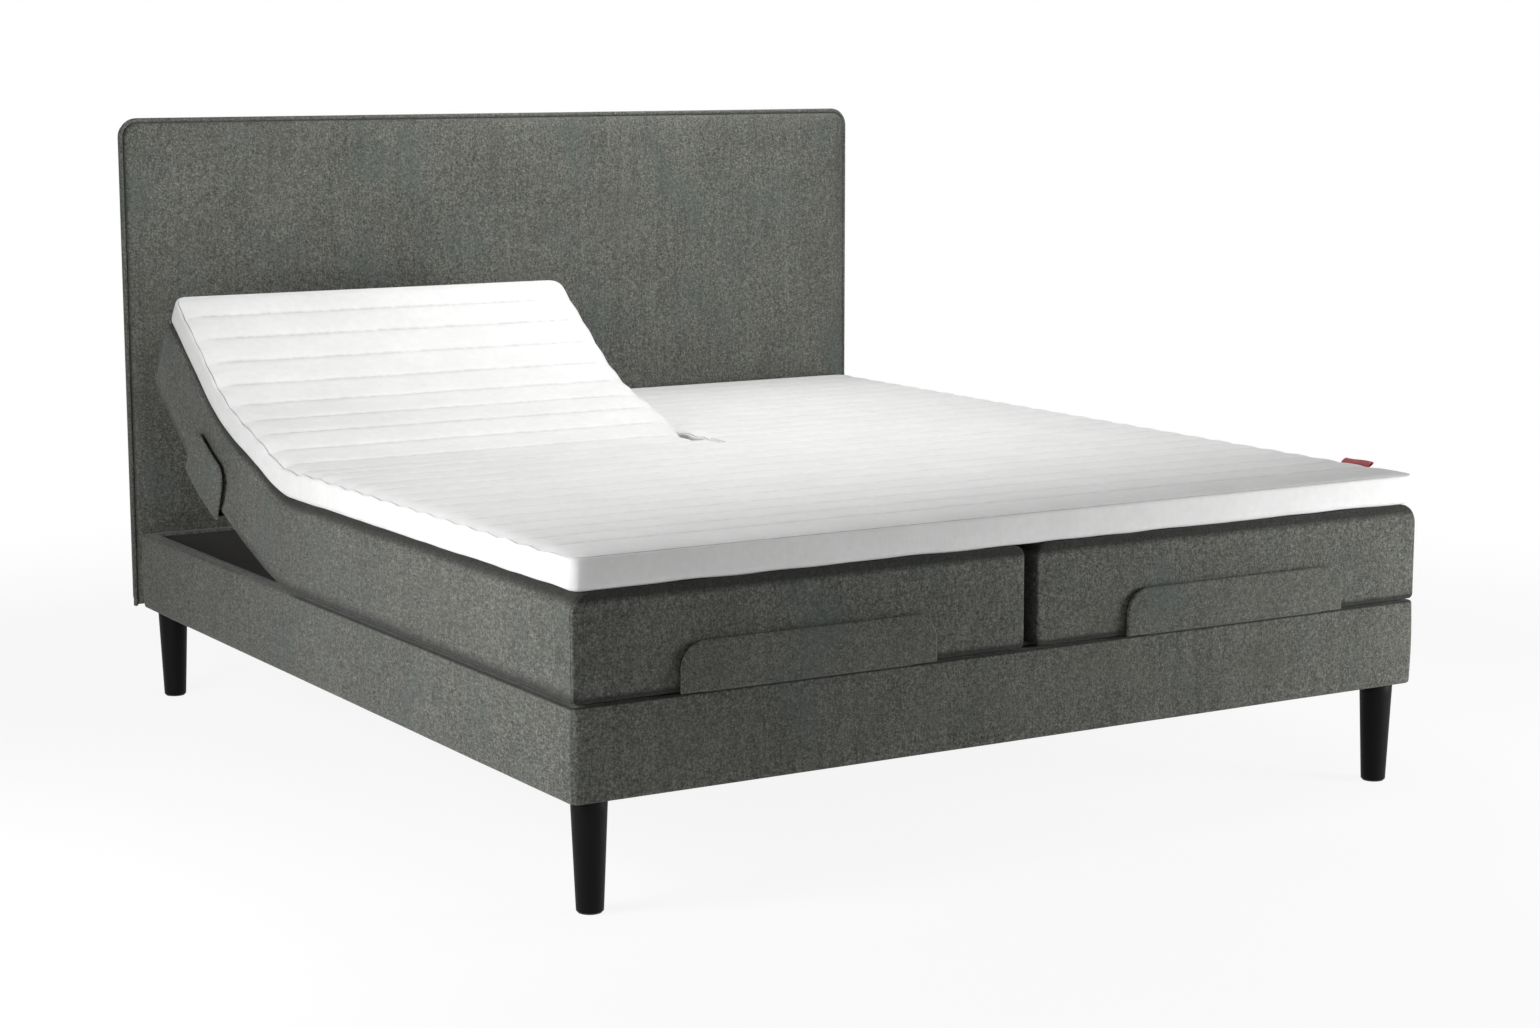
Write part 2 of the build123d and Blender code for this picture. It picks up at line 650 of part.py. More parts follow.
def rounded_plate(a0, a1, b0, b1, radius):
    """A flat outline with its two upper corners rounded."""
    face = rectangle(a0, a1, b0, b1)
    return fillet(face.vertices().group_by(Axis.Y)[-1], radius)


def foot_retainer():
    """An upholstered stop at the foot of a mattress, on a steel tongue from the calf section."""
    middle = (MATTRESS_IN + HALF_WIDTH) / 2
    x0, x1 = middle - FOOT_RETAINER_WIDTH / 2, middle + FOOT_RETAINER_WIDTH / 2
    low = DECK_TOP - TONGUE_GAP - TONGUE_THICK
    back = -HALF_LENGTH - RETAINER_GAP
    outline = rounded_plate(x0, x1, low, DECK_TOP + FOOT_RETAINER_HEIGHT, FOOT_RETAINER_R)
    plate = prism_y(outline, back - FOOT_RETAINER_THICK, back)
    plate = fillet(plate.faces().sort_by(Axis.Y)[0].edges(), RETAINER_ROUND)
    end = -HALF_LENGTH + RAIL_WALL + DECK_END_GAP
    tongue = block(x0 + FOOT_RETAINER_R, x1 - FOOT_RETAINER_R, back, end, low, low + TONGUE_THICK)
    return plate + tongue


def side_retainer():
    """An upholstered stop at the side of a mattress's back section, on a steel tongue."""
    y0 = BACK_Y + SIDE_RETAINER_FROM_HINGE
    low = DECK_TOP - TONGUE_GAP - TONGUE_THICK
    x0 = HALF_WIDTH + RETAINER_GAP
    outline = rounded_plate(y0, y0 + SIDE_RETAINER_LENGTH, low, DECK_TOP + SIDE_RETAINER_HEIGHT, SIDE_RETAINER_R)
    plate = prism_x(outline, x0, x0 + SIDE_RETAINER_THICK)
    plate = fillet(plate.faces().sort_by(Axis.X)[-1].edges(), RETAINER_ROUND)
    tongue_end = NECK_Y - SECTION_GAP
    return plate + block(DECK_OUT, x0, tongue_end - SIDE_TONGUE, tongue_end, low, low + TONGUE_THICK)


def make_unit(name, back, neck, place):
    """One lying unit with its head end at the given angles, put on its side of the bed by place."""
    half_gap = SECTION_GAP / 2
    deck_head = HALF_LENGTH - RAIL_WALL - DECK_END_GAP
    deck_foot = -deck_head
    back_foot, back_head = BACK_Y + half_gap, NECK_Y - half_gap

    def raise_back(shape):
        return turned(shape, BACK_Y, back)

    def raise_neck(shape):
        return raise_back(turned(shape, NECK_Y, neck))

    unit = {
        "seat_tray": seat_tray(),
        "back_panel": raise_back(section(back_foot, back_head, [(BACK_Y, 1)], [(NECK_Y, -1)])),
        "neck_panel": raise_neck(section(NECK_Y + half_gap, deck_head, [(NECK_Y, 1)], [])),
        "thigh_panel": section(KNEE_Y + half_gap, THIGH_Y - half_gap, [(THIGH_Y, -1)], [(KNEE_Y, 1)]),
        "calf_panel": section(deck_foot, KNEE_Y - half_gap, [(KNEE_Y, -1)], []),
        "back_lift": lift_shaft(BACK_SHAFT_Y, 1, BACK_ARM, arm_start(BACK_ARM) + BACK_LIFT_RATIO * back),
        "leg_lift": lift_shaft(LEG_SHAFT_Y, -1, LEG_ARM, arm_start(LEG_ARM)),
        "drive_unit": drive_unit(),
        "mattress_seat": cushion(*fold_face(THIGH_Y, HALF_THIGH, 1), *fold_face(BACK_Y, HALF_BACK, -1)),
        "mattress_back": raise_back(
            cushion(*fold_face(BACK_Y, HALF_BACK, 1), *fold_face(NECK_Y, HALF_NECK, -1))
        ),
        "mattress_neck": raise_neck(cushion(*fold_face(NECK_Y, HALF_NECK, 1), HEAD_END, HEAD_END, -1)),
        "mattress_thigh": cushion(
            KNEE_Y + KNEE_GAP, KNEE_Y + KNEE_GAP, *fold_face(THIGH_Y, HALF_THIGH, -1)
        ),
        "mattress_calf": cushion(FOOT_END, FOOT_END, KNEE_Y - KNEE_GAP, KNEE_Y - KNEE_GAP, 0),
        "mattress_neck_fold": raise_back(fold_wedge(NECK_Y, HALF_NECK, neck)),
        "side_retainer": raise_back(side_retainer()),
        "foot_retainer": foot_retainer(),
    }
    for piece, shape in unit.items():
        parts[piece + "_" + name] = place(shape)
    parts["topper_head_" + name] = place(topper_flap(back, neck))
    return [place(fold_wedge(BACK_Y, HALF_BACK, back)), place(fold_wedge(THIGH_Y, HALF_THIGH, 0.0))]


def main():
    """Build every piece and write one file for each, with the whole bed centred over the origin."""
    make_rails()
    make_supports()
    make_headboard()
    make_control_box()
    folds = make_unit("right", 0.0, 0.0, lambda shape: shape)
    folds += make_unit("left", LEFT_BACK_REST, LEFT_NECK_REST, lambda shape: mirror(shape, about=Plane.YZ))
    parts["mattress_seat_folds"] = folds
    make_topper_foot()
    os.makedirs("parts", exist_ok=True)
    for name, shape in parts.items():
        group = shape if isinstance(shape, list) else [shape]
        solids = [solid for piece in group for solid in (Pos(0, CENTRE_SHIFT, 0) * piece).solids()]
        whole = solids[0] if len(solids) == 1 else Compound(solids)
        whole.label = name
        export_step(whole, os.path.join("parts", name + ".step"))
    print(len(parts), "pieces")


main()
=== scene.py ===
"""Looks of an adjustable bed: upholstered box and headboard, two mattresses and a quilted topper."""

import functools
import logging
import math
from collections.abc import Callable, Sequence
from dataclasses import dataclass, field
from enum import Enum
from typing import Protocol

import bmesh
import bpy
import numpy as np
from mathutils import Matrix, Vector, noise


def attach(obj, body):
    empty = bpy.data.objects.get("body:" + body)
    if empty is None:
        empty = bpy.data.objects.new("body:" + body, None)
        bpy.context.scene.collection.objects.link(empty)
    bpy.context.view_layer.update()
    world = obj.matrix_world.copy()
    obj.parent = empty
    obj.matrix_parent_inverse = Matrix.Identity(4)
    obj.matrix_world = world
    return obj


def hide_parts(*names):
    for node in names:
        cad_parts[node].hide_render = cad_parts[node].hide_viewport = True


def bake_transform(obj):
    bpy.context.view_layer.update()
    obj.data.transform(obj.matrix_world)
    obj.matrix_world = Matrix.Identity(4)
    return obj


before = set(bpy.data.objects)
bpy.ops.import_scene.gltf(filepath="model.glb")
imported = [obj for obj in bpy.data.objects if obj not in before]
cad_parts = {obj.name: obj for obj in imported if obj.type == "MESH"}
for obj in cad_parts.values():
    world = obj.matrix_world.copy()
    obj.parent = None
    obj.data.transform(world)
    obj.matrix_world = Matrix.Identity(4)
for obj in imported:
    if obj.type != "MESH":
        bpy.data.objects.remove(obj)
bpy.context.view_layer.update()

log = logging.getLogger("bed")

Array = np.ndarray
Colour = tuple[float, float, float]
Point = tuple[float, float, float]

MM = 0.001
FRAME_SHIFT = np.array([0.0, -18.75, 0.0])
CLOTH_PLACE = "cloth_place"
# Point attribute for seam darkness and for painted shade in creases, gaps and under other parts.
SEAM_AND_SHADE_ATTRIBUTE = "sewn"
SMOOTH_LIMIT = math.radians(48)
FAR = 1e4

HALF_WIDTH = 900.0
FOOT_END = -999.0
HEAD_END = 998.0
BOX_LOW = 191.0
BOX_TOP = 351.0
DECK_TOP = 355.0
DECK_LOW = 340.0
AXIS_Z = 335.0
FOLD_LEVEL = AXIS_Z + 110.0
FOLD_HALVINGS = 30
FOLD_EASE = 0.4
MATTRESS_TOP = 540.0
FOOT_FACE = -1001.5
SIDE_FACE = 901.5
FOOT_CUT = -257.0
HEAD_CUT = 407.0


class Side(Enum):
    """The two lying units, with the sign of their X."""

    LEFT = -1
    RIGHT = 1

    @property
    def word(self) -> str:
        """The side's ending in the names of bodies and nodes."""
        return self.name.lower()


@dataclass(frozen=True)
class Fold:
    """A hinge line that soft pieces bend over, placed along the flat deck in millimetres."""

    axis: float
    start: float
    end: float
    before: str
    after: str

    def curl(self, points: Array, angle: float) -> Array:
        """Lay flat soft goods over the fold so that folding the section down lays them nearly flat.

        The share that leads to itself is found by halving, and the sharp fold it gives is eased
        towards an arc.

        Args:
            points: Places in millimetres, one row each.
            angle: The fold's turn in radians, head side up.

        Returns:
            The bent places.
        """
        ends = np.array([[0.0, self.start, FOLD_LEVEL], [0.0, self.end, FOLD_LEVEL]])
        ends[1:] = turn(ends[1:], self.axis, angle)
        along = (ends[1] - ends[0]) / np.sum((ends[1] - ends[0]) ** 2)
        low, high = np.zeros(len(points)), np.ones(len(points))
        for _ in range(FOLD_HALVINGS):
            guess = (low + high) / 2
            reached = (turn(points, self.axis, angle * smooth(guess)) - ends[0]) @ along
            low = np.where(reached > guess, guess, low)
            high = np.where(reached > guess, high, guess)
        sharp = turn(points, self.axis, angle * smooth((low + high) / 2))
        return sharp + FOLD_EASE * (self.arc(points, angle) - sharp)

    def arc(self, points: Array, angle: float) -> Array:
        """Lay flat soft goods over the fold as an arc that meets the straight parts on both sides.

        Args:
            points: Places in millimetres, one row each.
            angle: The fold's turn in radians, head side up.

        Returns:
            The bent places.
        """
        length = self.end - self.start
        radius = length / 2 / math.tan(angle / 2)
        over = points[:, 1] - self.start
        theta = angle * np.clip(over / length, 0.0, 1.0)
        lift, beyond = points[:, 2] - AXIS_Z, np.maximum(over - length, 0.0)
        y = self.start + np.minimum(over, 0.0) + (radius - lift) * np.sin(theta) + beyond * np.cos(theta)
        z = AXIS_Z + radius * (1.0 - np.cos(theta)) + lift * np.cos(theta) + beyond * np.sin(theta)
        return np.column_stack((points[:, 0], y, z))


class Span(Enum):
    """The lengths of soft goods, each of which crosses one fold."""

    HEAD = Fold(630.0, 428.0, 832.0, "back", "neck")
    BACK = Fold(235.0, 85.0, 385.0, "base", "back")
    THIGH = Fold(-20.0, 50.0, -220.0, "base", "thigh")
    FOOT = Fold(-370.0, -290.0, -460.0, "thigh", "calf")


REST_BACK = {Side.LEFT: 18.0, Side.RIGHT: 0.0}
REST_NECK = {Side.LEFT: 17.0, Side.RIGHT: 0.0}


def smooth(t: Array | float) -> Array:
    """A soft step from 0 to 1."""
    t = np.clip(t, 0.0, 1.0)
    return t * t * (3.0 - 2.0 * t)


def swell(t: Array | float, power: float) -> Array:
    """A rise from 0 to 1 that is steep at first and level at the end."""
    return 1.0 - (1.0 - np.clip(t, 0.0, 1.0)) ** power


def turn(points: Array, axis_y: float, angle: Array | float) -> Array:
    """Turn points about a hinge line, head side up.

    Args:
        points: Places in millimetres, one row each.
        axis_y: Where the hinge line lies along the flat deck.
        angle: The turn in radians, one for all or one for each point.

    Returns:
        The turned places.
    """
    dy = points[:, 1] - axis_y
    dz = points[:, 2] - AXIS_Z
    c, s = np.cos(angle), np.sin(angle)
    return np.column_stack((points[:, 0], axis_y + dy * c - dz * s, AXIS_Z + dy * s + dz * c))


def bend(points: Array, side: Side) -> Array:
    """Lay flat soft goods over a unit whose head end is raised as in the rest pose.

    Args:
        points: Places on the flat bed in millimetres.
        side: The unit they lie on.

    Returns:
        The places over the raised sections.
    """
    for span, degrees in ((Span.HEAD, REST_NECK[side]), (Span.BACK, REST_BACK[side])):
        if degrees:
            points = span.value.curl(points, math.radians(degrees))
    return points


def ripple(points: Array, wave: float, depth: float, seed: float) -> Array:
    """A gentle unevenness that only depends on place.

    Args:
        points: Places in millimetres, one row each.
        wave: Width of the unevenness in millimetres.
        depth: Its greatest size in millimetres.
        seed: Shifts the pattern.

    Returns:
        One offset for each place.
    """
    start = Vector((seed, seed * 1.7, -seed))
    return np.array([noise.noise(Vector(p) / wave + start) for p in points.tolist()]) * depth


def ease_along(knots: Array, values: Array, places: Array) -> Array:
    """Read rows of values between their knots on smooth curves that never overshoot.

    Args:
        knots: Where the rows lie, rising.
        values: One row of values for each knot.
        places: Where to read.

    Returns:
        One row of values for each place.
    """
    step = np.diff(knots)[:, None]
    slope = np.diff(values, axis=0) / step
    product = slope[:-1] * slope[1:]
    total = np.where(product > 0, slope[:-1] + slope[1:], 1.0)
    tangent = np.zeros_like(values)
    tangent[1:-1] = np.where(product > 0, 2.0 * product / total, 0.0)
    index = np.clip(np.searchsorted(knots, places) - 1, 0, len(knots) - 2)
    h = step[index]
    t = np.clip((places - knots[index])[:, None] / h, 0.0, 1.0)
    rise = smooth(t)
    bow = h * (t * (1.0 - t) ** 2 * tangent[index] - t * t * (1.0 - t) * tangent[index + 1])
    return values[index] * (1.0 - rise) + values[index + 1] * rise + bow


def row_places(points: Array) -> Array:
    """Places on the bed in millimetres, as metres of the row frame."""
    return (points + FRAME_SHIFT) * MM


def rounded_loop(
    box: Sequence[float], radii: Sequence[float], counts: tuple[int, int], arc: int = 8
) -> Array:
    """A closed rectangle outline with rounded corners.

    Args:
        box: Low and high of the first direction, then of the second.
        radii: Corner radii: low right, high right, high left, low left.
        counts: Divisions of the sides along the first and the second direction.
        arc: Divisions of each corner.

    Returns:
        The outline's points in order, two columns.
    """
    a0, a1, b0, b1 = box
    signs = ((1, -1), (1, 1), (-1, 1), (-1, -1))
    corners = []
    for (sa, sb), radius, first in zip(signs, radii, (-90, 0, 90, 180)):
        centre = np.array([a1 - radius if sa > 0 else a0 + radius, b1 - radius if sb > 0 else b0 + radius])
        angles = np.radians(np.linspace(first, first + 90, arc + 1))
        corners.append(centre + radius * np.column_stack((np.cos(angles), np.sin(angles))))
    points = []
    for index in range(4):
        count = counts[index % 2]
        start, end = corners[index - 1][-1], corners[index][0]
        share = np.linspace(0, 1, count + 1)[1:-1, None]
        points += [start + (end - start) * share, corners[index]]
    return np.vstack(points)


@dataclass
class Solid:
    """The points and faces of one closed piece while it is put together."""

    points: list[Array] = field(default_factory=list)
    faces: list[tuple[int, ...]] = field(default_factory=list)
    size: int = 0

    def add(self, points: Array) -> int:
        """Add points and return the index of the first."""
        first = self.size
        self.points.append(points)
        self.size += len(points)
        return first

    def join(self, first: int, second: int, count: int) -> None:
        """Join two closed rings of points with quads."""
        for k in range(count):
            n = (k + 1) % count
            self.faces.append((first + k, second + k, second + n, first + n))

    def all_points(self) -> Array:
        """Every point so far."""
        return np.vstack(self.points)


def loft(rings: Sequence[Array]) -> Solid:
    """A solid through closed rings, capped at both ends."""
    solid = Solid()
    starts = [solid.add(ring) for ring in rings]
    count = len(rings[0])
    for first, second in zip(starts, starts[1:]):
        solid.join(first, second, count)
    solid.faces.append(tuple(range(starts[0], starts[0] + count)))
    solid.faces.append(tuple(range(starts[-1], starts[-1] + count)))
    return solid


def hoop(loops: Sequence[Array]) -> Solid:
    """A frame-shaped solid: each loop goes once round, and the loops close on themselves."""
    solid = Solid()
    starts = [solid.add(loop) for loop in loops]
    for first, second in zip(starts, starts[1:] + starts[:1]):
        solid.join(first, second, len(loops[0]))
    return solid


@dataclass(frozen=True)
class Swelling:
    """A short cloth simulation that swells a closed pad from inside, sewn points held."""

    pressure: float
    cap: float
    mass: float = 0.05
    bending: float = 0.5
    frames: int = 20

    def run(self, solid: Solid, held: Array) -> Array:
        """Args:
            solid: The flat pad's points in millimetres and its faces.
            held: True for each point that is sewn down or lies on something.

        Returns:
            The points afterwards, none further than the cap from where it was.
        """
        points = solid.all_points()
        mesh = bpy.data.meshes.new("swelling")
        mesh.from_pydata((points * MM).tolist(), [], solid.faces)
        face_outward(mesh)
        piece = bpy.data.objects.new("swelling", mesh)
        scene = bpy.context.scene
        scene.collection.objects.link(piece)
        group = piece.vertex_groups.new(name="held")
        group.add(np.flatnonzero(held).tolist(), 1.0, "REPLACE")
        cloth = piece.modifiers.new("swelling", "CLOTH")
        cloth.settings.quality = 4
        cloth.settings.mass = self.mass
        cloth.settings.bending_stiffness = self.bending
        cloth.settings.vertex_group_mass = group.name
        cloth.settings.use_pressure = True
        cloth.settings.uniform_pressure_force = self.pressure
        cloth.settings.effector_weights.gravity = 0.0
        cloth.point_cache.frame_end = self.frames
        for step in range(1, self.frames + 1):
            scene.frame_set(step)
        result = piece.evaluated_get(bpy.context.evaluated_depsgraph_get())
        moved = np.empty(len(points) * 3, np.float32)
        result.data.vertices.foreach_get("co", moved)
        bpy.data.objects.remove(piece)
        bpy.data.meshes.remove(mesh)
        scene.frame_set(1)
        shift = moved.reshape(-1, 3) / MM - points
        reach = np.maximum(np.linalg.norm(shift, axis=1), 1e-6)
        log.info("swelling: %d points moved up to %.1f mm", len(points), reach.max())
        return points + shift * np.minimum(1.0, self.cap / reach)[:, None]


def face_outward(mesh: bpy.types.Mesh) -> None:
    """Turn the faces of a closed mesh outward."""
    shape = bmesh.new()
    shape.from_mesh(mesh)
    bmesh.ops.recalc_face_normals(shape, faces=shape.faces)
    shape.to_mesh(mesh)
    shape.free()


@dataclass
class PadGrid:
    """The face of a pad as rows of points, with rounded corners at its free ends.

    The first direction runs across the rows and the second along them.
    """

    rows: Array
    low: Array
    high: Array
    radius: float
    free_low: bool = True
    free_high: bool = True
    free_first: bool = True
    free_last: bool = True
    step: float = 20.0
    edge: Sequence[float] = (0.0, 1.5, 4.0, 8.0, 14.0, 22.0, 33.0, 47.0)

    def __post_init__(self) -> None:
        """Lay out the grid's points."""
        edge = np.array(self.edge)
        inset = np.zeros(len(self.rows))
        for end, free in ((self.rows[0], self.free_first), (self.rows[-1], self.free_last)):
            near = np.clip(self.radius - np.abs(self.rows - end), 0.0, self.radius) if free else 0.0
            inset += self.radius - np.sqrt(self.radius**2 - near**2)
        inner = np.max(self.high - self.low) - 2 * edge[-1]
        share = np.linspace(0, 1, max(2, round(inner / self.step)) + 1)[1:-1]
        grid = []
        for row in range(len(self.rows)):
            a = self.low[row] + inset[row] * self.free_low
            b = self.high[row] - inset[row] * self.free_high
            middle = a + edge[-1] + (b - a - 2 * edge[-1]) * share
            grid.append(np.concatenate((a + edge, middle, b - edge[::-1])))
        self.across = np.array(grid)
        self.along = np.repeat(self.rows[:, None], self.across.shape[1], axis=1)

    def gaps(self) -> tuple[Array, Array, Array, Array]:
        """Distance of each point from the low, high, first and last edge; far if an edge isn't free."""
        far = np.full(self.across.shape, FAR)
        return (
            self.across - self.low[:, None] if self.free_low else far,
            self.high[:, None] - self.across if self.free_high else far,
            self.along - self.rows[0] if self.free_first else far,
            self.rows[-1] - self.along if self.free_last else far,
        )

    def edge_distance(self) -> Array:
        """Distance of each point from the nearest free edge."""
        low, high, first, last = self.gaps()
        side, end = np.minimum(low, high), np.minimum(first, last)
        corner = self.radius - np.hypot(self.radius - side, self.radius - end)
        inside = (side < self.radius) & (end < self.radius)
        return np.maximum(np.where(inside, corner, np.minimum(side, end)), 0.0)

    def share(self) -> Array:
        """Where the columns lie across the grid's middle row, from 0 to 1."""
        row = len(self.rows) // 2
        return (self.across[row] - self.low[row]) / (self.high[row] - self.low[row])

    def sample(self, values: Array, other: "PadGrid") -> Array:
        """Read this grid's values at the points of a finer grid, or of a finer part of it."""
        across = np.array([np.interp(other.share(), self.share(), row) for row in values])
        return ease_along(self.rows, across, other.rows)

    def rim(self) -> Array:
        """Indices of the points round the grid's border, in order."""
        rows, cols = self.across.shape
        index = np.arange(rows * cols).reshape(rows, cols)
        return np.concatenate((index[0, :-1], index[:-1, -1], index[-1, :0:-1], index[:0:-1, 0]))

    def rim_normals(self) -> Array:
        """Directions out of the outline at the border points; none along an edge that isn't free."""
        low, high, first, last = (gap.ravel()[self.rim()] for gap in self.gaps())
        side, end = np.minimum(low, high), np.minimum(first, last)
        a = np.where(low < high, -1.0, 1.0) * np.clip(self.radius - side, 0.0, None)
        b = np.where(first < last, -1.0, 1.0) * np.clip(self.radius - end, 0.0, None)
        both = (a != 0) & (b != 0)
        a = np.where(both | (side < 1e-6), a, 0.0)
        b = np.where(both | (end < 1e-6), b, 0.0)
        length = np.maximum(np.hypot(a, b), 1e-9)
        return np.column_stack((a / length, b / length))

    def solid(
        self,
        top: Array,
        bottom: Array,
        wall: Sequence[tuple[float, Callable[[Array], Array]]],
        place: Callable[[Array], Array],
    ) -> Solid:
        """A closed pad: its face, its border and its back.

        Args:
            top: Height of the face at each grid point.
            bottom: Height of the back at each grid point.
            wall: Border rings from face to back: step outward, and height from the rim's height.
            place: Turns (across, along, height) into places on the bed.

        Returns:
            The pad's points and faces.
        """
        solid = Solid()
        rows, cols = self.across.shape
        flat = np.column_stack((self.across.ravel(), self.along.ravel()))
        rim, out = self.rim(), self.rim_normals()
        first = solid.add(place(np.column_stack((flat, top.ravel()))))
        edge_height = top.ravel()[rim]
        rings = []
        for step, height in wall:
            ring = np.column_stack((flat[rim] + out * step, height(edge_height)))
            rings.append(solid.add(place(ring)))
        last = solid.add(place(np.column_stack((flat, bottom.ravel()))))
        for base in (first, last):
            for i in range(rows - 1):
                for j in range(cols - 1):
                    k = base + i * cols + j
                    solid.faces.append((k, k + 1, k + cols + 1, k + cols))
        count = len(rim)
        for k in range(count):
            n = (k + 1) % count
            pairs = [(first + rim[k], first + rim[n])]
            pairs += [(ring + k, ring + n) for ring in rings]
            pairs.append((last + rim[k], last + rim[n]))
            for (a, b), (c, d) in zip(pairs, pairs[1:]):
                solid.faces.append((int(a), int(c), int(d), int(b)))
        return solid


def add_piece(
    name: str,
    solid: Solid,
    material: bpy.types.Material,
    flat: Array | None = None,
    sewn: Array | None = None,
) -> bpy.types.Object:
    """Put a finished solid into the scene.

    Args:
        name: The piece's name.
        solid: Its points on the bed, in millimetres, and its faces.
        material: Its finish.
        flat: Where its points lie on the flat cloth, if that differs.
        sewn: How dark each point is painted, from 0 to 1: seams, and painted shade in creases, gaps and
            under other parts.

    Returns:
        The new object.
    """
    points = solid.all_points()
    mesh = bpy.data.meshes.new(name)
    mesh.from_pydata(row_places(points).tolist(), [], solid.faces)
    cloth = mesh.attributes.new(CLOTH_PLACE, "FLOAT_VECTOR", "POINT")
    spread = row_places(points if flat is None else flat).astype(np.float32)
    cloth.data.foreach_set("vector", spread.ravel())
    if sewn is not None:
        mesh.attributes.new(SEAM_AND_SHADE_ATTRIBUTE, "FLOAT", "POINT").data.foreach_set("value", sewn.astype(np.float32))
    face_outward(mesh)
    mesh.shade_smooth()
    mesh.set_sharp_from_angle(angle=SMOOTH_LIMIT)
    mesh.materials.append(material)
    piece = bpy.data.objects.new(name, mesh)
    bpy.context.scene.collection.objects.link(piece)
    log.info("%s: %d points", name, len(points))
    return piece


# Shaders


class Sock:
    """A shader socket that takes part in arithmetic; each operation adds a Math node."""

    def __init__(self, graph: "Graph", socket: bpy.types.NodeSocket) -> None:
        """Keep the graph and the socket."""
        self.graph = graph
        self.socket = socket

    def do(self, operation: str, *terms: "Sock | float") -> "Sock":
        """The result of one Math operation on the terms."""
        return self.graph.make("ShaderNodeMath", {"operation": operation}, dict(enumerate(terms)))

    def __add__(self, other: "Sock | float") -> "Sock":
        """Sum."""
        return self.do("ADD", self, other)

    def __radd__(self, other: float) -> "Sock":
        """Sum with a number first."""
        return self.do("ADD", other, self)

    def __sub__(self, other: "Sock | float") -> "Sock":
        """Difference."""
        return self.do("SUBTRACT", self, other)

    def __rsub__(self, other: float) -> "Sock":
        """Difference with a number first."""
        return self.do("SUBTRACT", other, self)

    def __mul__(self, other: "Sock | float") -> "Sock":
        """Product."""
        return self.do("MULTIPLY", self, other)

    def __rmul__(self, other: float) -> "Sock":
        """Product with a number first."""
        return self.do("MULTIPLY", other, self)

    def sine(self) -> "Sock":
        """Sine of the value."""
        return self.do("SINE", self)

    def size(self) -> "Sock":
        """The value without its sign."""
        return self.do("ABSOLUTE", self)

    def root(self) -> "Sock":
        """Square root of the value."""
        return self.do("SQRT", self)

    def above(self, level: float) -> "Sock":
        """1 where the value is above a level, 0 elsewhere."""
        return self.do("GREATER_THAN", self, level)

    def most(self, other: "Sock | float") -> "Sock":
        """The larger of two values."""
        return self.do("MAXIMUM", self, other)


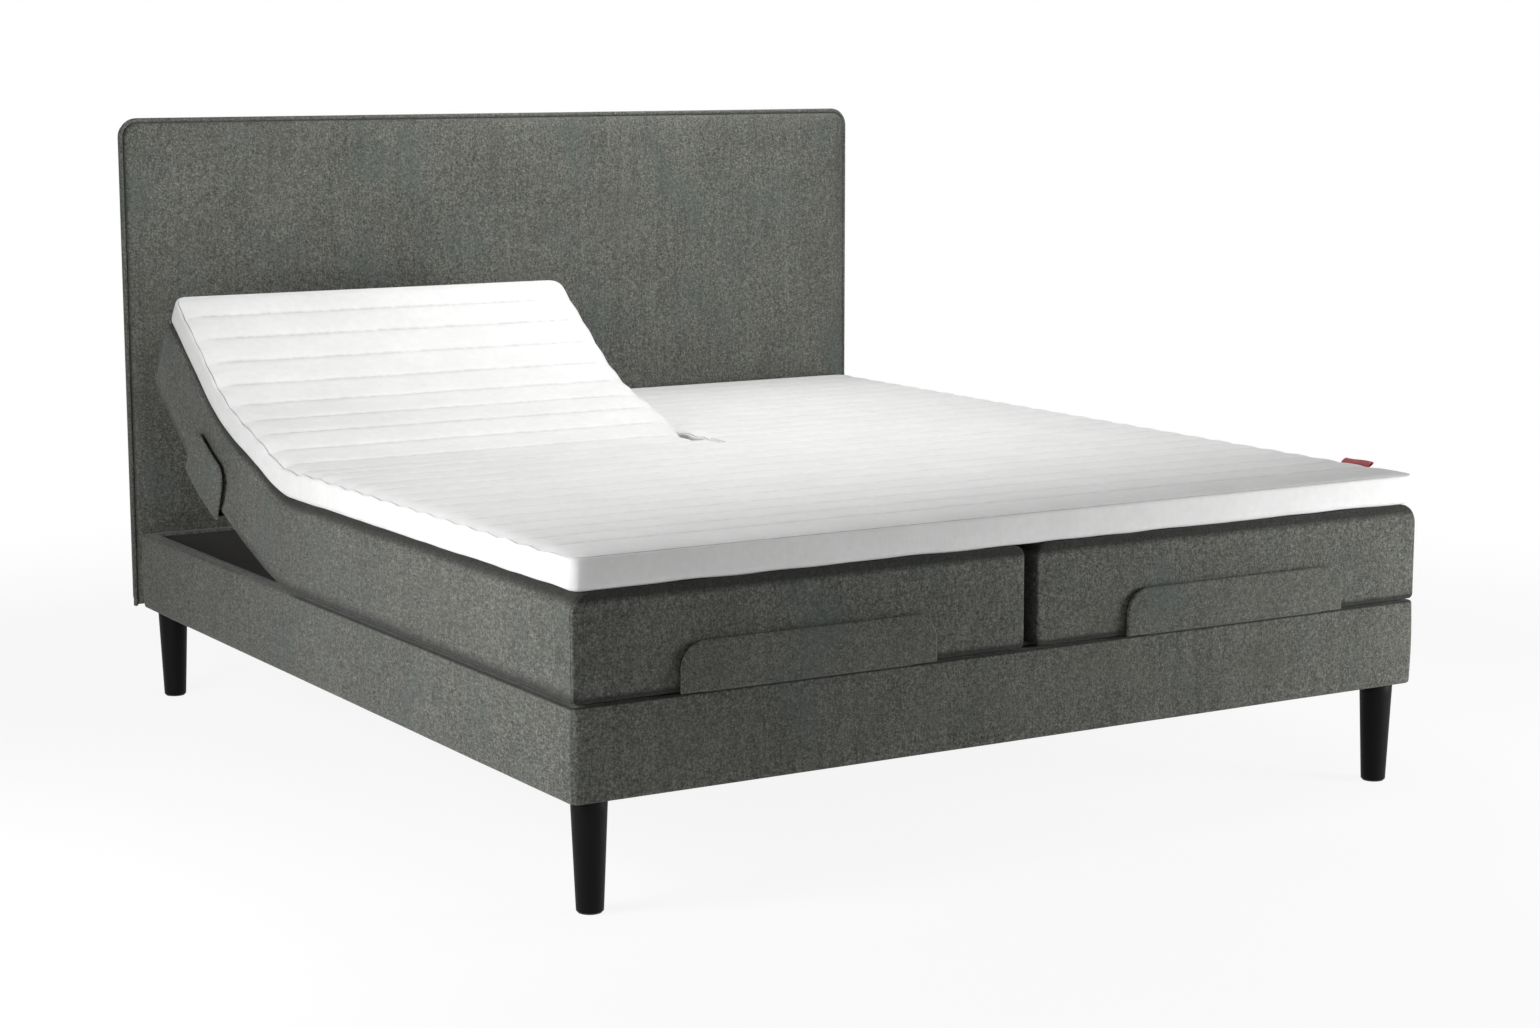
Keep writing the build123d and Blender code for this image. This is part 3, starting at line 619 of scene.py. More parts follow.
class Graph:
    """The node tree of a material or of the world."""

    def __init__(self, owner: bpy.types.Material | bpy.types.World) -> None:
        """Start an empty tree."""
        self.owner = owner
        owner.use_nodes = True
        self.tree = owner.node_tree
        self.tree.nodes.clear()

    @classmethod
    def material(cls, name: str) -> "Graph":
        """The tree of a new material."""
        return cls(bpy.data.materials.new(name))

    def make(
        self,
        kind: str,
        settings: dict[str, object] | None = None,
        inputs: dict[int | str, object] | None = None,
        output: int | str = 0,
    ) -> Sock:
        """Add a node.

        Args:
            kind: The node's type.
            settings: Its settings, set before its sockets.
            inputs: Values or links of its sockets.
            output: The output socket to hand back.

        Returns:
            The chosen output.
        """
        node = self.tree.nodes.new(kind)
        for key, value in (settings or {}).items():
            if key == "stops":
                self.set_stops(node.color_ramp, value)
            else:
                setattr(node, key, value)
        for key, value in (inputs or {}).items():
            socket = node.inputs[key]
            if isinstance(value, Sock):
                self.tree.links.new(value.socket, socket)
            elif socket.type == "RGBA":
                socket.default_value = (*value, 1.0)
            else:
                socket.default_value = value
        return Sock(self, node.outputs[output] if node.outputs else None)

    @staticmethod
    def set_stops(ramp: bpy.types.ColorRamp, stops: Sequence[tuple[float, Colour]]) -> None:
        """Give a colour ramp its stops."""
        while len(ramp.elements) < len(stops):
            ramp.elements.new(1.0)
        for element, (place, colour) in zip(ramp.elements, stops):
            element.position = place
            element.color = (*colour, 1.0)

    def place(self, attribute: str | None = CLOTH_PLACE) -> Sock:
        """Where a point lies on the flat cloth, or on the object if no attribute is named."""
        if attribute is None:
            return self.make("ShaderNodeTexCoord", output="Object")
        return self.make("ShaderNodeAttribute", {"attribute_name": attribute}, output="Vector")

    def sewn(self) -> Sock:
        """How dark a point is painted, from 0 to 1: seams, and painted shade in creases, gaps and under
        other parts.
        """
        return self.make("ShaderNodeAttribute", {"attribute_name": SEAM_AND_SHADE_ATTRIBUTE}, output="Fac")

    def split(self, vector: Sock) -> tuple[Sock, Sock, Sock]:
        """A vector's three values."""
        x = self.make("ShaderNodeSeparateXYZ", inputs={0: vector})
        return x, *(Sock(self, x.socket.node.outputs[i]) for i in (1, 2))

    def vector(self, x: "Sock | float", y: "Sock | float", z: "Sock | float") -> Sock:
        """A vector from three values."""
        return self.make("ShaderNodeCombineXYZ", inputs={0: x, 1: y, 2: z})

    def noise(self, place: Sock, scale: float = 1.0, detail: float = 2.0, rough: float = 0.5) -> Sock:
        """Soft noise from 0 to 1 at a place."""
        values = {"Vector": place, "Scale": scale, "Detail": detail, "Roughness": rough}
        return self.make("ShaderNodeTexNoise", inputs=values)

    def mask(self, value: Sock, low: float, high: float) -> Sock:
        """A soft step from 0 at low to 1 at high."""
        step = {"interpolation_type": "SMOOTHSTEP"}
        return self.make("ShaderNodeMapRange", step, {0: value, 1: low, 2: high, 3: 0.0, 4: 1.0})

    def ramp(self, value: Sock, *stops: tuple[float, Colour]) -> Sock:
        """A colour from a value."""
        return self.make("ShaderNodeValToRGB", {"stops": stops}, {0: value})

    def mix(self, share: Sock | float, first: Sock | Colour, second: Sock | Colour) -> Sock:
        """A colour between two."""
        return self.make("ShaderNodeMix", {"data_type": "RGBA"}, {0: share, 6: first, 7: second}, 2)

    def bump(self, height: Sock, strength: float, distance: float) -> Sock:
        """A normal that follows a height."""
        values = {"Strength": strength, "Distance": distance, "Height": height}
        return self.make("ShaderNodeBump", inputs=values)

    def surface(self, colour: Sock | Colour, roughness: Sock | float, **others: object) -> Sock:
        """The main shader; other sockets by name, with _ for a space."""
        values = {"Base Color": colour, "Roughness": roughness}
        values |= {key.replace("_", " "): value for key, value in others.items()}
        return self.make("ShaderNodeBsdfPrincipled", inputs=values)

    def seen(self) -> Sock:
        """1 where the camera sees a surface, straight on, mirrored or through something clear."""
        path = self.make("ShaderNodeLightPath", output="Is Camera Ray")
        outputs = path.socket.node.outputs
        glossy, clear = (Sock(self, outputs[f"Is {kind} Ray"]) for kind in ("Glossy", "Transmission"))
        return path.most(glossy).most(clear)

    def done(self, shader: Sock) -> bpy.types.Material | bpy.types.World:
        """Link the shader to the output and hand back the owner."""
        kind = "World" if isinstance(self.owner, bpy.types.World) else "Material"
        self.make(f"ShaderNodeOutput{kind}", inputs={"Surface": shader})
        return self.owner


@dataclass(frozen=True)
class MelangeCloth:
    """A grey-green cloth of mixed yarns: fine flecks, faint upright slubs and soft tints."""

    name: str
    dark: Colour = (0.031, 0.032, 0.028)
    middle: Colour = (0.107, 0.110, 0.098)
    light: Colour = (0.248, 0.252, 0.229)
    cool: Colour = (0.083, 0.109, 0.103)
    warm: Colour = (0.119, 0.112, 0.091)
    # Dark seam colour, also used as painted shade.
    seam: Colour = (0.016, 0.016, 0.015)
    yarn: float = 3.1
    slub: float = 1.0

    def material(self) -> bpy.types.Material:
        """The cloth's nodes."""
        g = Graph.material(self.name)
        place = g.place()
        x, y, z = g.split(place)
        u = x - y
        v = z + (x + y) * 0.25
        warp = g.noise(g.vector(u * 330.0, v * 60.0, 0.3), detail=2.0)
        weft = g.noise(g.vector(u * 60.0, v * 330.0, 4.1), detail=2.0)
        streak = g.noise(g.vector(u * 70.0, v * 5.0, 6.6), detail=2.0)
        fleck = g.noise(g.vector(x * 320.0, y * 190.0, z * 320.0), 1.0, 2.0, 0.7)
        mottle = g.noise(g.vector(x * 190.0, y * 80.0, z * 190.0), 1.0, 2.0)
        patch = g.noise(place, 6.0, 3.0)
        turns = 2.0 * math.pi / (self.yarn * MM)
        twill = ((u + v) * turns).sine()
        cross = ((u - v) * turns * 0.5).sine()
        tone = (warp - 0.5) * (0.42 * self.slub) + (weft - 0.5) * (0.30 * self.slub)
        tone = tone + (streak - 0.5) * (0.20 * self.slub) + (fleck - 0.5) * 1.4
        tone = tone + (mottle - 0.5) * 0.75 + (patch - 0.5) * 0.22 + twill * cross * 0.10 + 0.5
        colour = g.ramp(tone, (0.05, self.dark), (0.5, self.middle), (0.97, self.light))
        tint = g.noise(g.vector(u * 8.0, v * 5.0, 2.2), detail=3.0)
        colour = g.mix(g.mask(tint, 0.52, 0.72) * 0.34, colour, self.cool)
        colour = g.mix((1.0 - g.mask(tint, 0.28, 0.46)) * 0.24, colour, self.warm)
        # Dark seams, and painted shade under the topper, along the deck and the box's upper edge, between
        # the mattresses and at the headboard pad's rim.
        colour = g.mix(g.sewn() * 0.8, colour, self.seam)
        weave = twill * 0.35 + cross * 0.25 + warp * 0.4 + fleck + mottle * 0.7
        normal = g.bump(weave, 0.6, 0.0009)
        shader = g.surface(
            colour, 0.80 + fleck * 0.16, Normal=normal,
            Specular_IOR_Level=0.12, Sheen_Weight=0.2, Sheen_Roughness=0.4,
        )
        return g.done(shader)


@dataclass(frozen=True)
class TopperKnit:
    """A white stretch knit with a fine surface; grey along the sewn lines, partly thread and partly painted
    shade in the seam grooves.
    """

    name: str
    white: Colour = (0.83, 0.83, 0.825)
    shade: Colour = (0.78, 0.78, 0.775)
    thread: Colour = (0.42, 0.42, 0.415)

    def material(self) -> bpy.types.Material:
        """The knit's nodes."""
        g = Graph.material(self.name)
        place = g.place()
        x, y, z = g.split(place)
        turns = 2.0 * math.pi / (2.6 * MM)
        loops = ((x + z) * turns).sine() * ((y + z) * turns).sine()
        soft = g.noise(place, 60.0, 3.0)
        broad = g.noise(place, 9.0, 2.0)
        fibre = g.noise(g.vector(x * 520.0, y * 140.0, z * 520.0), detail=2.0)
        colour = g.mix(g.mask(soft * 0.5 + broad * 0.5, 0.35, 0.68), self.shade, self.white)
        stitch = g.noise(g.vector(x * 70.0, y * 30.0, z * 70.0), detail=2.0)
        # Grey along the sewn lines and the edge seam: thread colour and painted shade in the seam grooves.
        colour = g.mix(g.sewn() * (0.30 + g.mask(stitch, 0.35, 0.65) * 0.45), colour, self.thread)
        height = loops * 0.35 + fibre * 0.5 + soft * 1.4
        normal = g.bump(height, 0.35, 0.0009)
        return g.done(g.surface(colour, 0.78 + fibre * 0.14, Normal=normal, Specular_IOR_Level=0.15))


@dataclass(frozen=True)
class TagCloth:
    """A red ribbed ribbon with deeper red in its fibre pattern."""

    name: str
    red: Colour = (0.50, 0.055, 0.065)
    deep: Colour = (0.20, 0.018, 0.024)

    def material(self) -> bpy.types.Material:
        """The ribbon's nodes."""
        g = Graph.material(self.name)
        x, y, z = g.split(g.place())
        rib = (y * (2.0 * math.pi / (1.6 * MM))).sine()
        fibre = g.noise(g.vector(x * 300.0, y * 900.0, z * 300.0), detail=2.0)
        colour = g.mix(g.mask(fibre + rib * 0.2, 0.3, 0.8), self.deep, self.red)
        normal = g.bump(rib + fibre, 0.4, 0.0004)
        return g.done(g.surface(colour, 0.62 + fibre * 0.2, Normal=normal, Sheen_Weight=0.2))


@dataclass(frozen=True)
class SatinLacquer:
    """Near-black satin paint on turned wood."""

    name: str
    black: Colour = (0.0022, 0.0022, 0.0023)
    worn: Colour = (0.0048, 0.0047, 0.0045)

    def material(self) -> bpy.types.Material:
        """The lacquer's nodes."""
        g = Graph.material(self.name)
        place = g.place(None)
        x, y, z = g.split(place)
        grain = g.noise(g.vector(x * 420.0, y * 420.0, z * 16.0), detail=4.0)
        smear = g.noise(place, 24.0, 3.0)
        colour = g.mix(g.mask(smear, 0.45, 0.8) * 0.5, self.black, self.worn)
        normal = g.bump(grain, 0.12, 0.0006)
        return g.done(g.surface(colour, 0.44 + smear * 0.14, Normal=normal, Specular_IOR_Level=0.10))


class Grain(Enum):
    """The direction a board's grain runs in, as stretch along X, Y and Z."""

    X = (7.0, 130.0, 130.0)
    Y = (130.0, 7.0, 130.0)
    Z = (130.0, 130.0, 7.0)


@dataclass(frozen=True)
class StainedWood:
    """A dark stained softwood board with its grain along one direction."""

    name: str
    grain: Grain
    dark: Colour = (0.009, 0.0085, 0.008)
    light: Colour = (0.026, 0.024, 0.022)

    def material(self) -> bpy.types.Material:
        """The board's nodes."""
        g = Graph.material(self.name)
        x, y, z = g.split(g.place(None))
        sx, sy, sz = self.grain.value
        place = g.vector(x * sx, y * sy, z * sz)
        grain = g.noise(place, 1.0, 5.0, 0.62)
        rings = g.noise(place, 0.22, 3.0)
        colour = g.ramp(grain * 0.65 + rings * 0.35, (0.28, self.dark), (0.74, self.light))
        normal = g.bump(grain, 0.3, 0.0008)
        return g.done(g.surface(colour, 0.58 + grain * 0.22, Normal=normal))


@dataclass(frozen=True)
class DeckSection:
    """A film-faced plywood section whose hinge ears, below the board, are coated steel."""

    name: str
    turns: tuple[tuple[float, float], ...] = ()
    face: Colour = (0.034, 0.029, 0.025)
    film: Colour = (0.058, 0.048, 0.040)
    ply: Colour = (0.30, 0.21, 0.13)
    glue: Colour = (0.10, 0.066, 0.040)
    steel: Colour = (0.022, 0.022, 0.024)

    def material(self) -> bpy.types.Material:
        """The section's nodes; turns undo the rest angle of a raised section, outermost first."""
        g = Graph.material(self.name)
        place = g.place(None)
        for axis, angle in self.turns:
            centre = ((axis + FRAME_SHIFT[1]) * MM, AXIS_Z * MM)
            place = g.make(
                "ShaderNodeVectorRotate",
                {"rotation_type": "X_AXIS"},
                {"Vector": place, "Center": (0.0, *centre), "Angle": -math.radians(angle)},
            )
        x, y, z = g.split(place)
        grain = g.noise(g.vector(x * 9.0, y * 150.0, z * 150.0), detail=4.0)
        speck = g.noise(place, 320.0, 2.0)
        face = g.mix(g.mask(grain * 0.6 + speck * 0.4, 0.35, 0.7), self.face, self.film)
        layer = (z * (2.0 * math.pi / (3.0 * MM))).sine()
        edge = g.mix(g.mask(layer + grain * 0.6, -0.2, 0.6), self.glue, self.ply)
        normal_z = g.split(g.make("ShaderNodeNewGeometry", output="Normal"))[2].size()
        board_colour = g.mix(g.mask(normal_z, 0.45, 0.6), edge, face)
        board = g.surface(board_colour, 0.5 + grain * 0.2, Normal=g.bump(grain + speck, 0.2, 0.0005))
        peel = g.noise(place, 700.0, 2.0)
        coat = g.surface(
            g.mix(peel, self.steel, self.film), 0.44 + peel * 0.16, Normal=g.bump(peel, 0.2, 0.0003)
        )
        is_board = z.above((DECK_LOW - 0.3) * MM)
        return g.done(g.make("ShaderNodeMixShader", inputs={0: is_board, 1: coat, 2: board}))


@dataclass(frozen=True)
class CoatedSteel:
    """Powder-coated steel with a fine orange-peel surface and rubbed spots."""

    name: str
    coat: Colour = (0.022, 0.022, 0.024)
    rubbed: Colour = (0.085, 0.085, 0.088)

    def material(self) -> bpy.types.Material:
        """The coating's nodes."""
        g = Graph.material(self.name)
        place = g.place(None)
        peel = g.noise(place, 650.0, 2.0)
        rub = g.noise(place, 38.0, 4.0, 0.6)
        colour = g.mix(g.mask(rub, 0.58, 0.78) * 0.5, self.coat, self.rubbed)
        rough = 0.50 - g.mask(rub, 0.58, 0.78) * 0.14 + peel * 0.1
        return g.done(g.surface(colour, rough, Normal=g.bump(peel, 0.22, 0.0003)))


@dataclass(frozen=True)
class MouldedPlastic:
    """Moulded plastic with a fine spark-eroded texture."""

    name: str
    body: Colour = (0.030, 0.031, 0.033)
    dust: Colour = (0.075, 0.074, 0.071)

    def material(self) -> bpy.types.Material:
        """The plastic's nodes."""
        g = Graph.material(self.name)
        place = g.place(None)
        spark = g.noise(place, 900.0, 2.0)
        dust = g.noise(place, 22.0, 4.0)
        colour = g.mix(g.mask(dust, 0.5, 0.85) * 0.4, self.body, self.dust)
        return g.done(g.surface(colour, 0.48 + spark * 0.18, Normal=g.bump(spark, 0.25, 0.0003)))


@dataclass(frozen=True)
class ZincSteel:
    """Zinc-plated steel with fine turning marks."""

    name: str
    bright: Colour = (0.62, 0.62, 0.60)
    dull: Colour = (0.40, 0.41, 0.41)

    def material(self) -> bpy.types.Material:
        """The plating's nodes."""
        g = Graph.material(self.name)
        place = g.place(None)
        cloud = g.noise(place, 160.0, 4.0)
        mark = g.noise(place, 1400.0, 1.0)
        colour = g.mix(cloud, self.dull, self.bright)
        return g.done(
            g.surface(colour, 0.28 + cloud * 0.18, Metallic=1.0, Normal=g.bump(mark, 0.1, 0.0002))
        )


@dataclass(frozen=True)
class DustCloth:
    """Thin dark felted cloth over the back of the headboard."""

    name: str
    dark: Colour = (0.018, 0.018, 0.019)
    light: Colour = (0.052, 0.052, 0.053)

    def material(self) -> bpy.types.Material:
        """The felt's nodes."""
        g = Graph.material(self.name)
        place = g.place()
        x, _, z = g.split(place)
        fibre = g.noise(place, 420.0, 4.0, 0.7)
        press = ((x * 1400.0).sine() * (z * 1400.0).sine()).size()
        colour = g.mix(g.mask(fibre * 0.7 + press * 0.3, 0.3, 0.7), self.dark, self.light)
        return g.done(g.surface(colour, 0.88 + fibre * 0.08, Normal=g.bump(fibre + press, 0.3, 0.0005)))


class Finish(Protocol):
    """A surface finish that can make its own material."""

    def material(self) -> bpy.types.Material:
        """The finish's nodes."""


@functools.cache
def dress(finish: Finish) -> bpy.types.Material:
    """The material of a finish, made once."""
    return finish.material()


UPHOLSTERY = MelangeCloth("melange_cloth")
TWILL = MelangeCloth("melange_twill", yarn=3.6, slub=0.4)
KNIT = TopperKnit("topper_knit")


def settle(piece: bpy.types.Object, slot: str, fill: float | None, *nodes: str) -> bpy.types.Object:
    """Hide the CAD nodes that a piece stands for.

    Args:
        piece: The piece.
        slot: The record's material slot; not used.
        fill: How full it is, or None if it isn't padded; not used.
        nodes: The CAD nodes it replaces.

    Returns:
        The piece.
    """
    if nodes:
        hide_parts(*nodes)
    return piece


def hang(piece: bpy.types.Object, span: Span, side: Side) -> None:
    """Bake a soft piece's place into its points; its fold's ends are worked out but not used.

    Args:
        piece: The piece, in place.
        span: The length of soft goods it belongs to.
        side: The lying unit that moves it.
    """
    fold = span.value
    ends = bend(np.array([[0.0, fold.start, FOLD_LEVEL], [0.0, fold.end, FOLD_LEVEL]]), side)
    start, end = row_places(ends)
    tuple(start)
    tuple(end)
    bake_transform(piece)


# Sub-assemblies


@dataclass
class BoxBase:
    """The upholstered box: one padded cover round the four boards."""

    half_length: float = 1000.0
    corner: float = 15.0
    wall: float = 8.0
    lip: float = 5.0
    depth: float = 32.0
    edge: float = 6.0
    bulge: float = 2.0
    side_step: float = 28.0
    seam_depth: float = 1.1
    # groove, open_from and open_fade set the painted shade band along the upper outer edge.
    groove: float = 3.4
    open_from: float = 190.0
    open_fade: float = 60.0
    clearance: float = 0.4
    least_radius: float = 0.6
    arc: int = 8
    uneven: tuple[float, float, float] = (170.0, 0.9, 3.0)

    def profile(self) -> list[tuple[float, float]]:
        """The cover's section as (offset from the outer face, height), once round."""
        low, top, edge = BOX_LOW, BOX_TOP, self.edge
        points = [(-self.depth, low), (-edge * 1.6, low)]
        for angle in np.radians([0, 22, 45, 68, 90]):
            points.append((-edge * (1 - math.sin(angle)), low + edge * (1 - math.cos(angle))))
        tall = top - low - 2 * edge
        for share in np.linspace(0.08, 0.92, 7):
            points.append((self.bulge * math.sin(math.pi * share), low + edge + share * tall))
        for angle in np.radians([90, 68, 45, 22, 0]):
            points.append((-edge * (1 - math.sin(angle)), top - edge * (1 - math.cos(angle))))
        points += [(-edge * 1.8, top), (-self.depth + 2.5, top), (-self.depth, top - 2.0)]
        inner = self.wall + self.clearance
        upper, lower = top - self.lip + self.clearance, low + self.lip - self.clearance
        points += [(-self.depth, upper), (-inner, upper), (-inner, lower), (-self.depth, lower)]
        return points

    def build(self) -> bpy.types.Object:
        """Make the cover and dress it.

        Returns:
            The cover.
        """
        loops = []
        counts = (round(2 * HALF_WIDTH / self.side_step), round(2 * self.half_length / self.side_step))
        for offset, height in self.profile():
            a, b = HALF_WIDTH + offset, self.half_length + offset
            radius = max(self.corner + offset, self.least_radius)
            plan = rounded_loop((-a, a, -b, b), (radius,) * 4, counts, self.arc)
            loop = np.column_stack((plan, np.full(len(plan), height)))
            if offset > -self.wall:
                loop = self.sew_corners(loop, counts)
            loops.append(loop)
        solid = hoop(loops)
        points = solid.all_points()
        shove = ripple(points, *self.uneven)
        outward = points[:, :2] / np.maximum(np.hypot(points[:, 0], points[:, 1])[:, None], 1.0)
        points[:, :2] += outward * shove[:, None]
        solid.points = [points]
        # The upper outer edge gets painted shade for the groove under the mattresses.
        cover = add_piece("box_cover", solid, dress(UPHOLSTERY), sewn=self.shaded(points))
        rails = (f"rail_cover_{side}" for side in ("left", "right", "foot", "head"))
        settle(cover, "upholstery", 0.3, *rails)
        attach(cover, "base")
        return cover

    def shaded(self, points: Array) -> Array:
        """Painted shade on the cover's upper outer edge, standing for the shade in the groove under the
        mattresses.

        Args:
            points: The cover's points on the bed, in millimetres.

        Returns:
            A share of painted shade for each point, none along the open part under the raised head end.
        """
        x, y, z = points.T
        outer = np.maximum(np.abs(x) - HALF_WIDTH, np.abs(y) - self.half_length) > -1.2 * self.edge
        closed = np.where(x > 0.0, 1.0, smooth((self.open_from - y) / self.open_fade))
        return outer * closed * smooth((z - BOX_TOP + self.groove) / (self.groove / 2))

    def sew_corners(self, loop: Array, counts: tuple[int, int]) -> Array:
        """Draw the cover in along the seam at the middle of each corner."""
        place = 0
        for index in range(4):
            place += counts[index % 2] - 1
            middle = place + self.arc // 2
            loop[middle, :2] -= np.sign(loop[middle, :2]) * self.seam_depth
            place += self.arc + 1
        return loop


@dataclass
class Legs:
    """Four turned legs that taper to the floor."""

    top_radius: float = 31.0
    foot_radius: float = 23.0
    foot: float = 2.5
    rounding: float = 1.5
    places: tuple[float, float] = (848.0, 957.0)
    steps: int = 56

    def build(self) -> list[bpy.types.Object]:
        """Turn and dress the legs.

        Returns:
            The four legs.
        """
        legs = []
        for sx, x_word in ((-1, "left"), (1, "right")):
            for sy, y_word in ((-1, "front"), (1, "rear")):
                centre = (sx * self.places[0], sy * self.places[1])
                name = f"leg_{y_word}_{x_word}"
                leg = add_piece(f"turned_{name}", self.turned(centre), dress(SatinLacquer("leg_lacquer")))
                settle(leg, "leg_lacquer", None, name)
                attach(leg, "base")
                legs.append(leg)
        return legs

    def turned(self, centre: tuple[float, float]) -> Solid:
        """One leg as rings of a taper with an eased foot and shoulder."""
        outline = [(self.foot_radius - self.rounding, self.foot)]
        for angle in np.radians([30, 60, 90]):
            drop = self.rounding * (1 - math.cos(angle))
            outline.append((self.foot_radius - self.rounding * (1 - math.sin(angle)), self.foot + drop))
        for share in np.linspace(0.1, 1.0, 10):
            radius = self.foot_radius + (self.top_radius - self.foot_radius) * share
            outline.append((radius, self.foot + (BOX_LOW - 1.5 - self.foot) * share))
        outline += [(self.top_radius - 0.6, BOX_LOW - 0.4), (self.top_radius - 1.6, BOX_LOW)]
        angles = np.linspace(0, 2 * math.pi, self.steps, endpoint=False)
        circle = np.column_stack((np.cos(angles), np.sin(angles)))
        rings = []
        for radius, z in outline:
            rings.append(np.column_stack((circle * radius + np.array(centre), np.full(self.steps, z))))
        return loft(rings)


@dataclass
class Headboard:
    """The headboard: padded front, piped seam, border band and a cloth over its back."""

    half_width: float = 912.0
    low: float = 193.0
    high: float = 1237.0
    corner: float = 40.0
    low_corner: float = 16.0
    seam: float = 1021.0
    back: float = 1055.0
    pad_inset: float = 9.8
    pad_low: float = 1.0
    pad_depth: float = 17.0
    pad_edge: float = 1.0
    pad_round: float = 23.0
    cord: float = 4.8
    border_inset: float = 6.0
    border_wall: float = 9.0
    border_round: float = 15.0
    hem: float = 24.4
    swelling: Swelling = Swelling(pressure=3.0, cap=2.6)
    counts: tuple[int, int] = (64, 36)
    coarse: tuple[float, int] = (44.0, 24)
    fine: tuple[float, int] = (26.0, 44)
    held_edge: float = 6.0
    # Width of the painted shade along the pad's rim.
    sewn_edge: float = 2.4
    uneven: tuple[float, float, float] = (240.0, 0.7, 11.0)
    uneven_from: float = 120.0
    border_start: float = 4.2
    cloth_gap: float = 0.4
    cloth_depth: float = 4.6
    cloth_thick: float = 1.0
    cloth_rows: int = 40
    cloth_step: float = 46.0
    cloth_uneven: tuple[float, float, float] = (130.0, 0.5, 21.0)

    def loop(self, offset: float, y: float) -> Array:
        """The outline at an offset from the outer edge, negative inside it, at one depth."""
        box = (-self.half_width - offset, self.half_width + offset, self.low - offset, self.high + offset)
        low, high = max(self.low_corner + offset, 1.0), max(self.corner + offset, 1.0)
        flat = rounded_loop(box, (low, high, high, low), self.counts)
        return np.column_stack((flat[:, 0], np.full(len(flat), y), flat[:, 1]))

    def build(self) -> list[bpy.types.Object]:
        """Make and dress the headboard's pieces.

        Returns:
            The pad, piping, border and back cloth.
        """
        pieces = [self.make_pad(), self.make_piping(), self.make_border(), self.make_back_cloth()]
        for piece in pieces:
            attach(piece, "base")
        return pieces

    def pad_grid(self, step: float, rows: int) -> PadGrid:
        """The pad's face as a grid.

        Args:
            step: Distance of its points across.
            rows: Number of its rows between the eased edges.

        Returns:
            The grid, with round upper corners.
        """
        a, z0, z1 = self.half_width - self.pad_inset, self.low + self.pad_low, self.high - self.pad_inset
        radius = self.corner - self.pad_inset
        foot = np.array(PadGrid.edge)
        head = radius * (1 - np.cos(np.linspace(0, math.pi / 2, 9)))
        middle = np.linspace(z0 + foot[-1], z1 - radius, rows)[1:-1]
        levels = np.concatenate((z0 + foot, middle, z1 - head[::-1]))
        ends = (np.full(len(levels), -a), np.full(len(levels), a))
        return PadGrid(levels, *ends, radius, free_first=False, step=step)

    def pad_shape(self, grid: PadGrid) -> tuple[Array, Array]:
        """The pad's distance from its edge, and its depth before it swells."""
        gap = np.minimum(grid.edge_distance(), grid.along - grid.rows[0])
        rise = np.sqrt(1.0 - (1.0 - np.clip(gap / self.pad_round, 0, 1)) ** 2)
        return gap, self.pad_edge + (self.pad_depth - self.pad_edge) * rise

    def make_pad(self) -> bpy.types.Object:
        """The padded front, swollen and drawn in to the piped seam."""
        coarse = self.pad_grid(*self.coarse)
        gap, depth = self.pad_shape(coarse)
        wall = [(0.0, lambda edge: edge * 0.5)]
        slack = coarse.solid(depth, np.zeros(gap.shape), wall, lambda points: points)
        held = np.ones(slack.size, bool)
        held[: gap.size] = gap.ravel() < self.held_edge
        puff = (self.swelling.run(slack, held) - slack.all_points())[: gap.size, 2].reshape(gap.shape)
        grid = self.pad_grid(*self.fine)
        gap, depth = self.pad_shape(grid)
        face = np.column_stack((grid.across.ravel(), np.zeros(gap.size), grid.along.ravel()))
        uneven = ripple(face, *self.uneven).reshape(gap.shape) * smooth(gap / self.uneven_from)
        depth = depth + coarse.sample(puff, grid) + uneven
        solid = grid.solid(depth, np.zeros(gap.shape), wall, self.face_place)
        # Painted shade: the pad's rim by the piping is darker, and its walls and back are dark, for the
        # crevice's shade.
        sewn = np.ones(solid.size)
        sewn[: gap.size] = 1.0 - np.clip(gap.ravel() / self.sewn_edge, 0, 1)
        pad = add_piece("headboard_front", solid, dress(UPHOLSTERY), sewn=sewn)
        return settle(pad, "upholstery", 0.7, "headboard_pad")

    def face_place(self, points: Array) -> Array:
        """Places of (across, up, height in front of the seam)."""
        return np.column_stack((points[:, 0], self.seam - points[:, 2], points[:, 1]))

    def cord_path(self) -> tuple[Array, Array]:
        """The piping's line up the right side, over the top and down the left.

        Returns:
            Places of (across, up) along it, and its outward direction at each.
        """
        a, top, radius = self.half_width - self.cord, self.high - self.cord, self.corner - self.cord
        rise = np.linspace(self.low, top - radius, 22)[:-1]
        arc = np.linspace(0, math.pi / 2, 10)
        corner = np.column_stack((np.cos(arc), np.sin(arc)))
        line = np.column_stack((np.full(len(rise), a), rise))
        line = np.vstack((line, corner * radius + np.array([a - radius, top - radius])))
        out = np.vstack((np.tile([1.0, 0.0], (len(rise), 1)), corner))
        middle = np.linspace(a - radius, 0.0, 20)[1:-1]
        line = np.vstack((line, np.column_stack((middle, np.full(len(middle), top)))))
        out = np.vstack((out, np.tile([0.0, 1.0], (len(middle), 1))))
        mirror = np.array([-1.0, 1.0])
        return np.vstack((line, line[::-1] * mirror)), np.vstack((out, out[::-1] * mirror))

    def make_piping(self) -> bpy.types.Object:
        """The covered cord in the seam between pad and border, with rounded ends at the bottom."""
        line, out = self.cord_path()
        angles = np.linspace(0, 2 * math.pi, 14, endpoint=False)

        def ring(place: Array, outward: Array, radius: float) -> Array:
            """One section of the cord."""
            flat = place + outward * (radius * np.cos(angles))[:, None]
            return np.column_stack((flat[:, 0], self.seam + radius * np.sin(angles), flat[:, 1]))

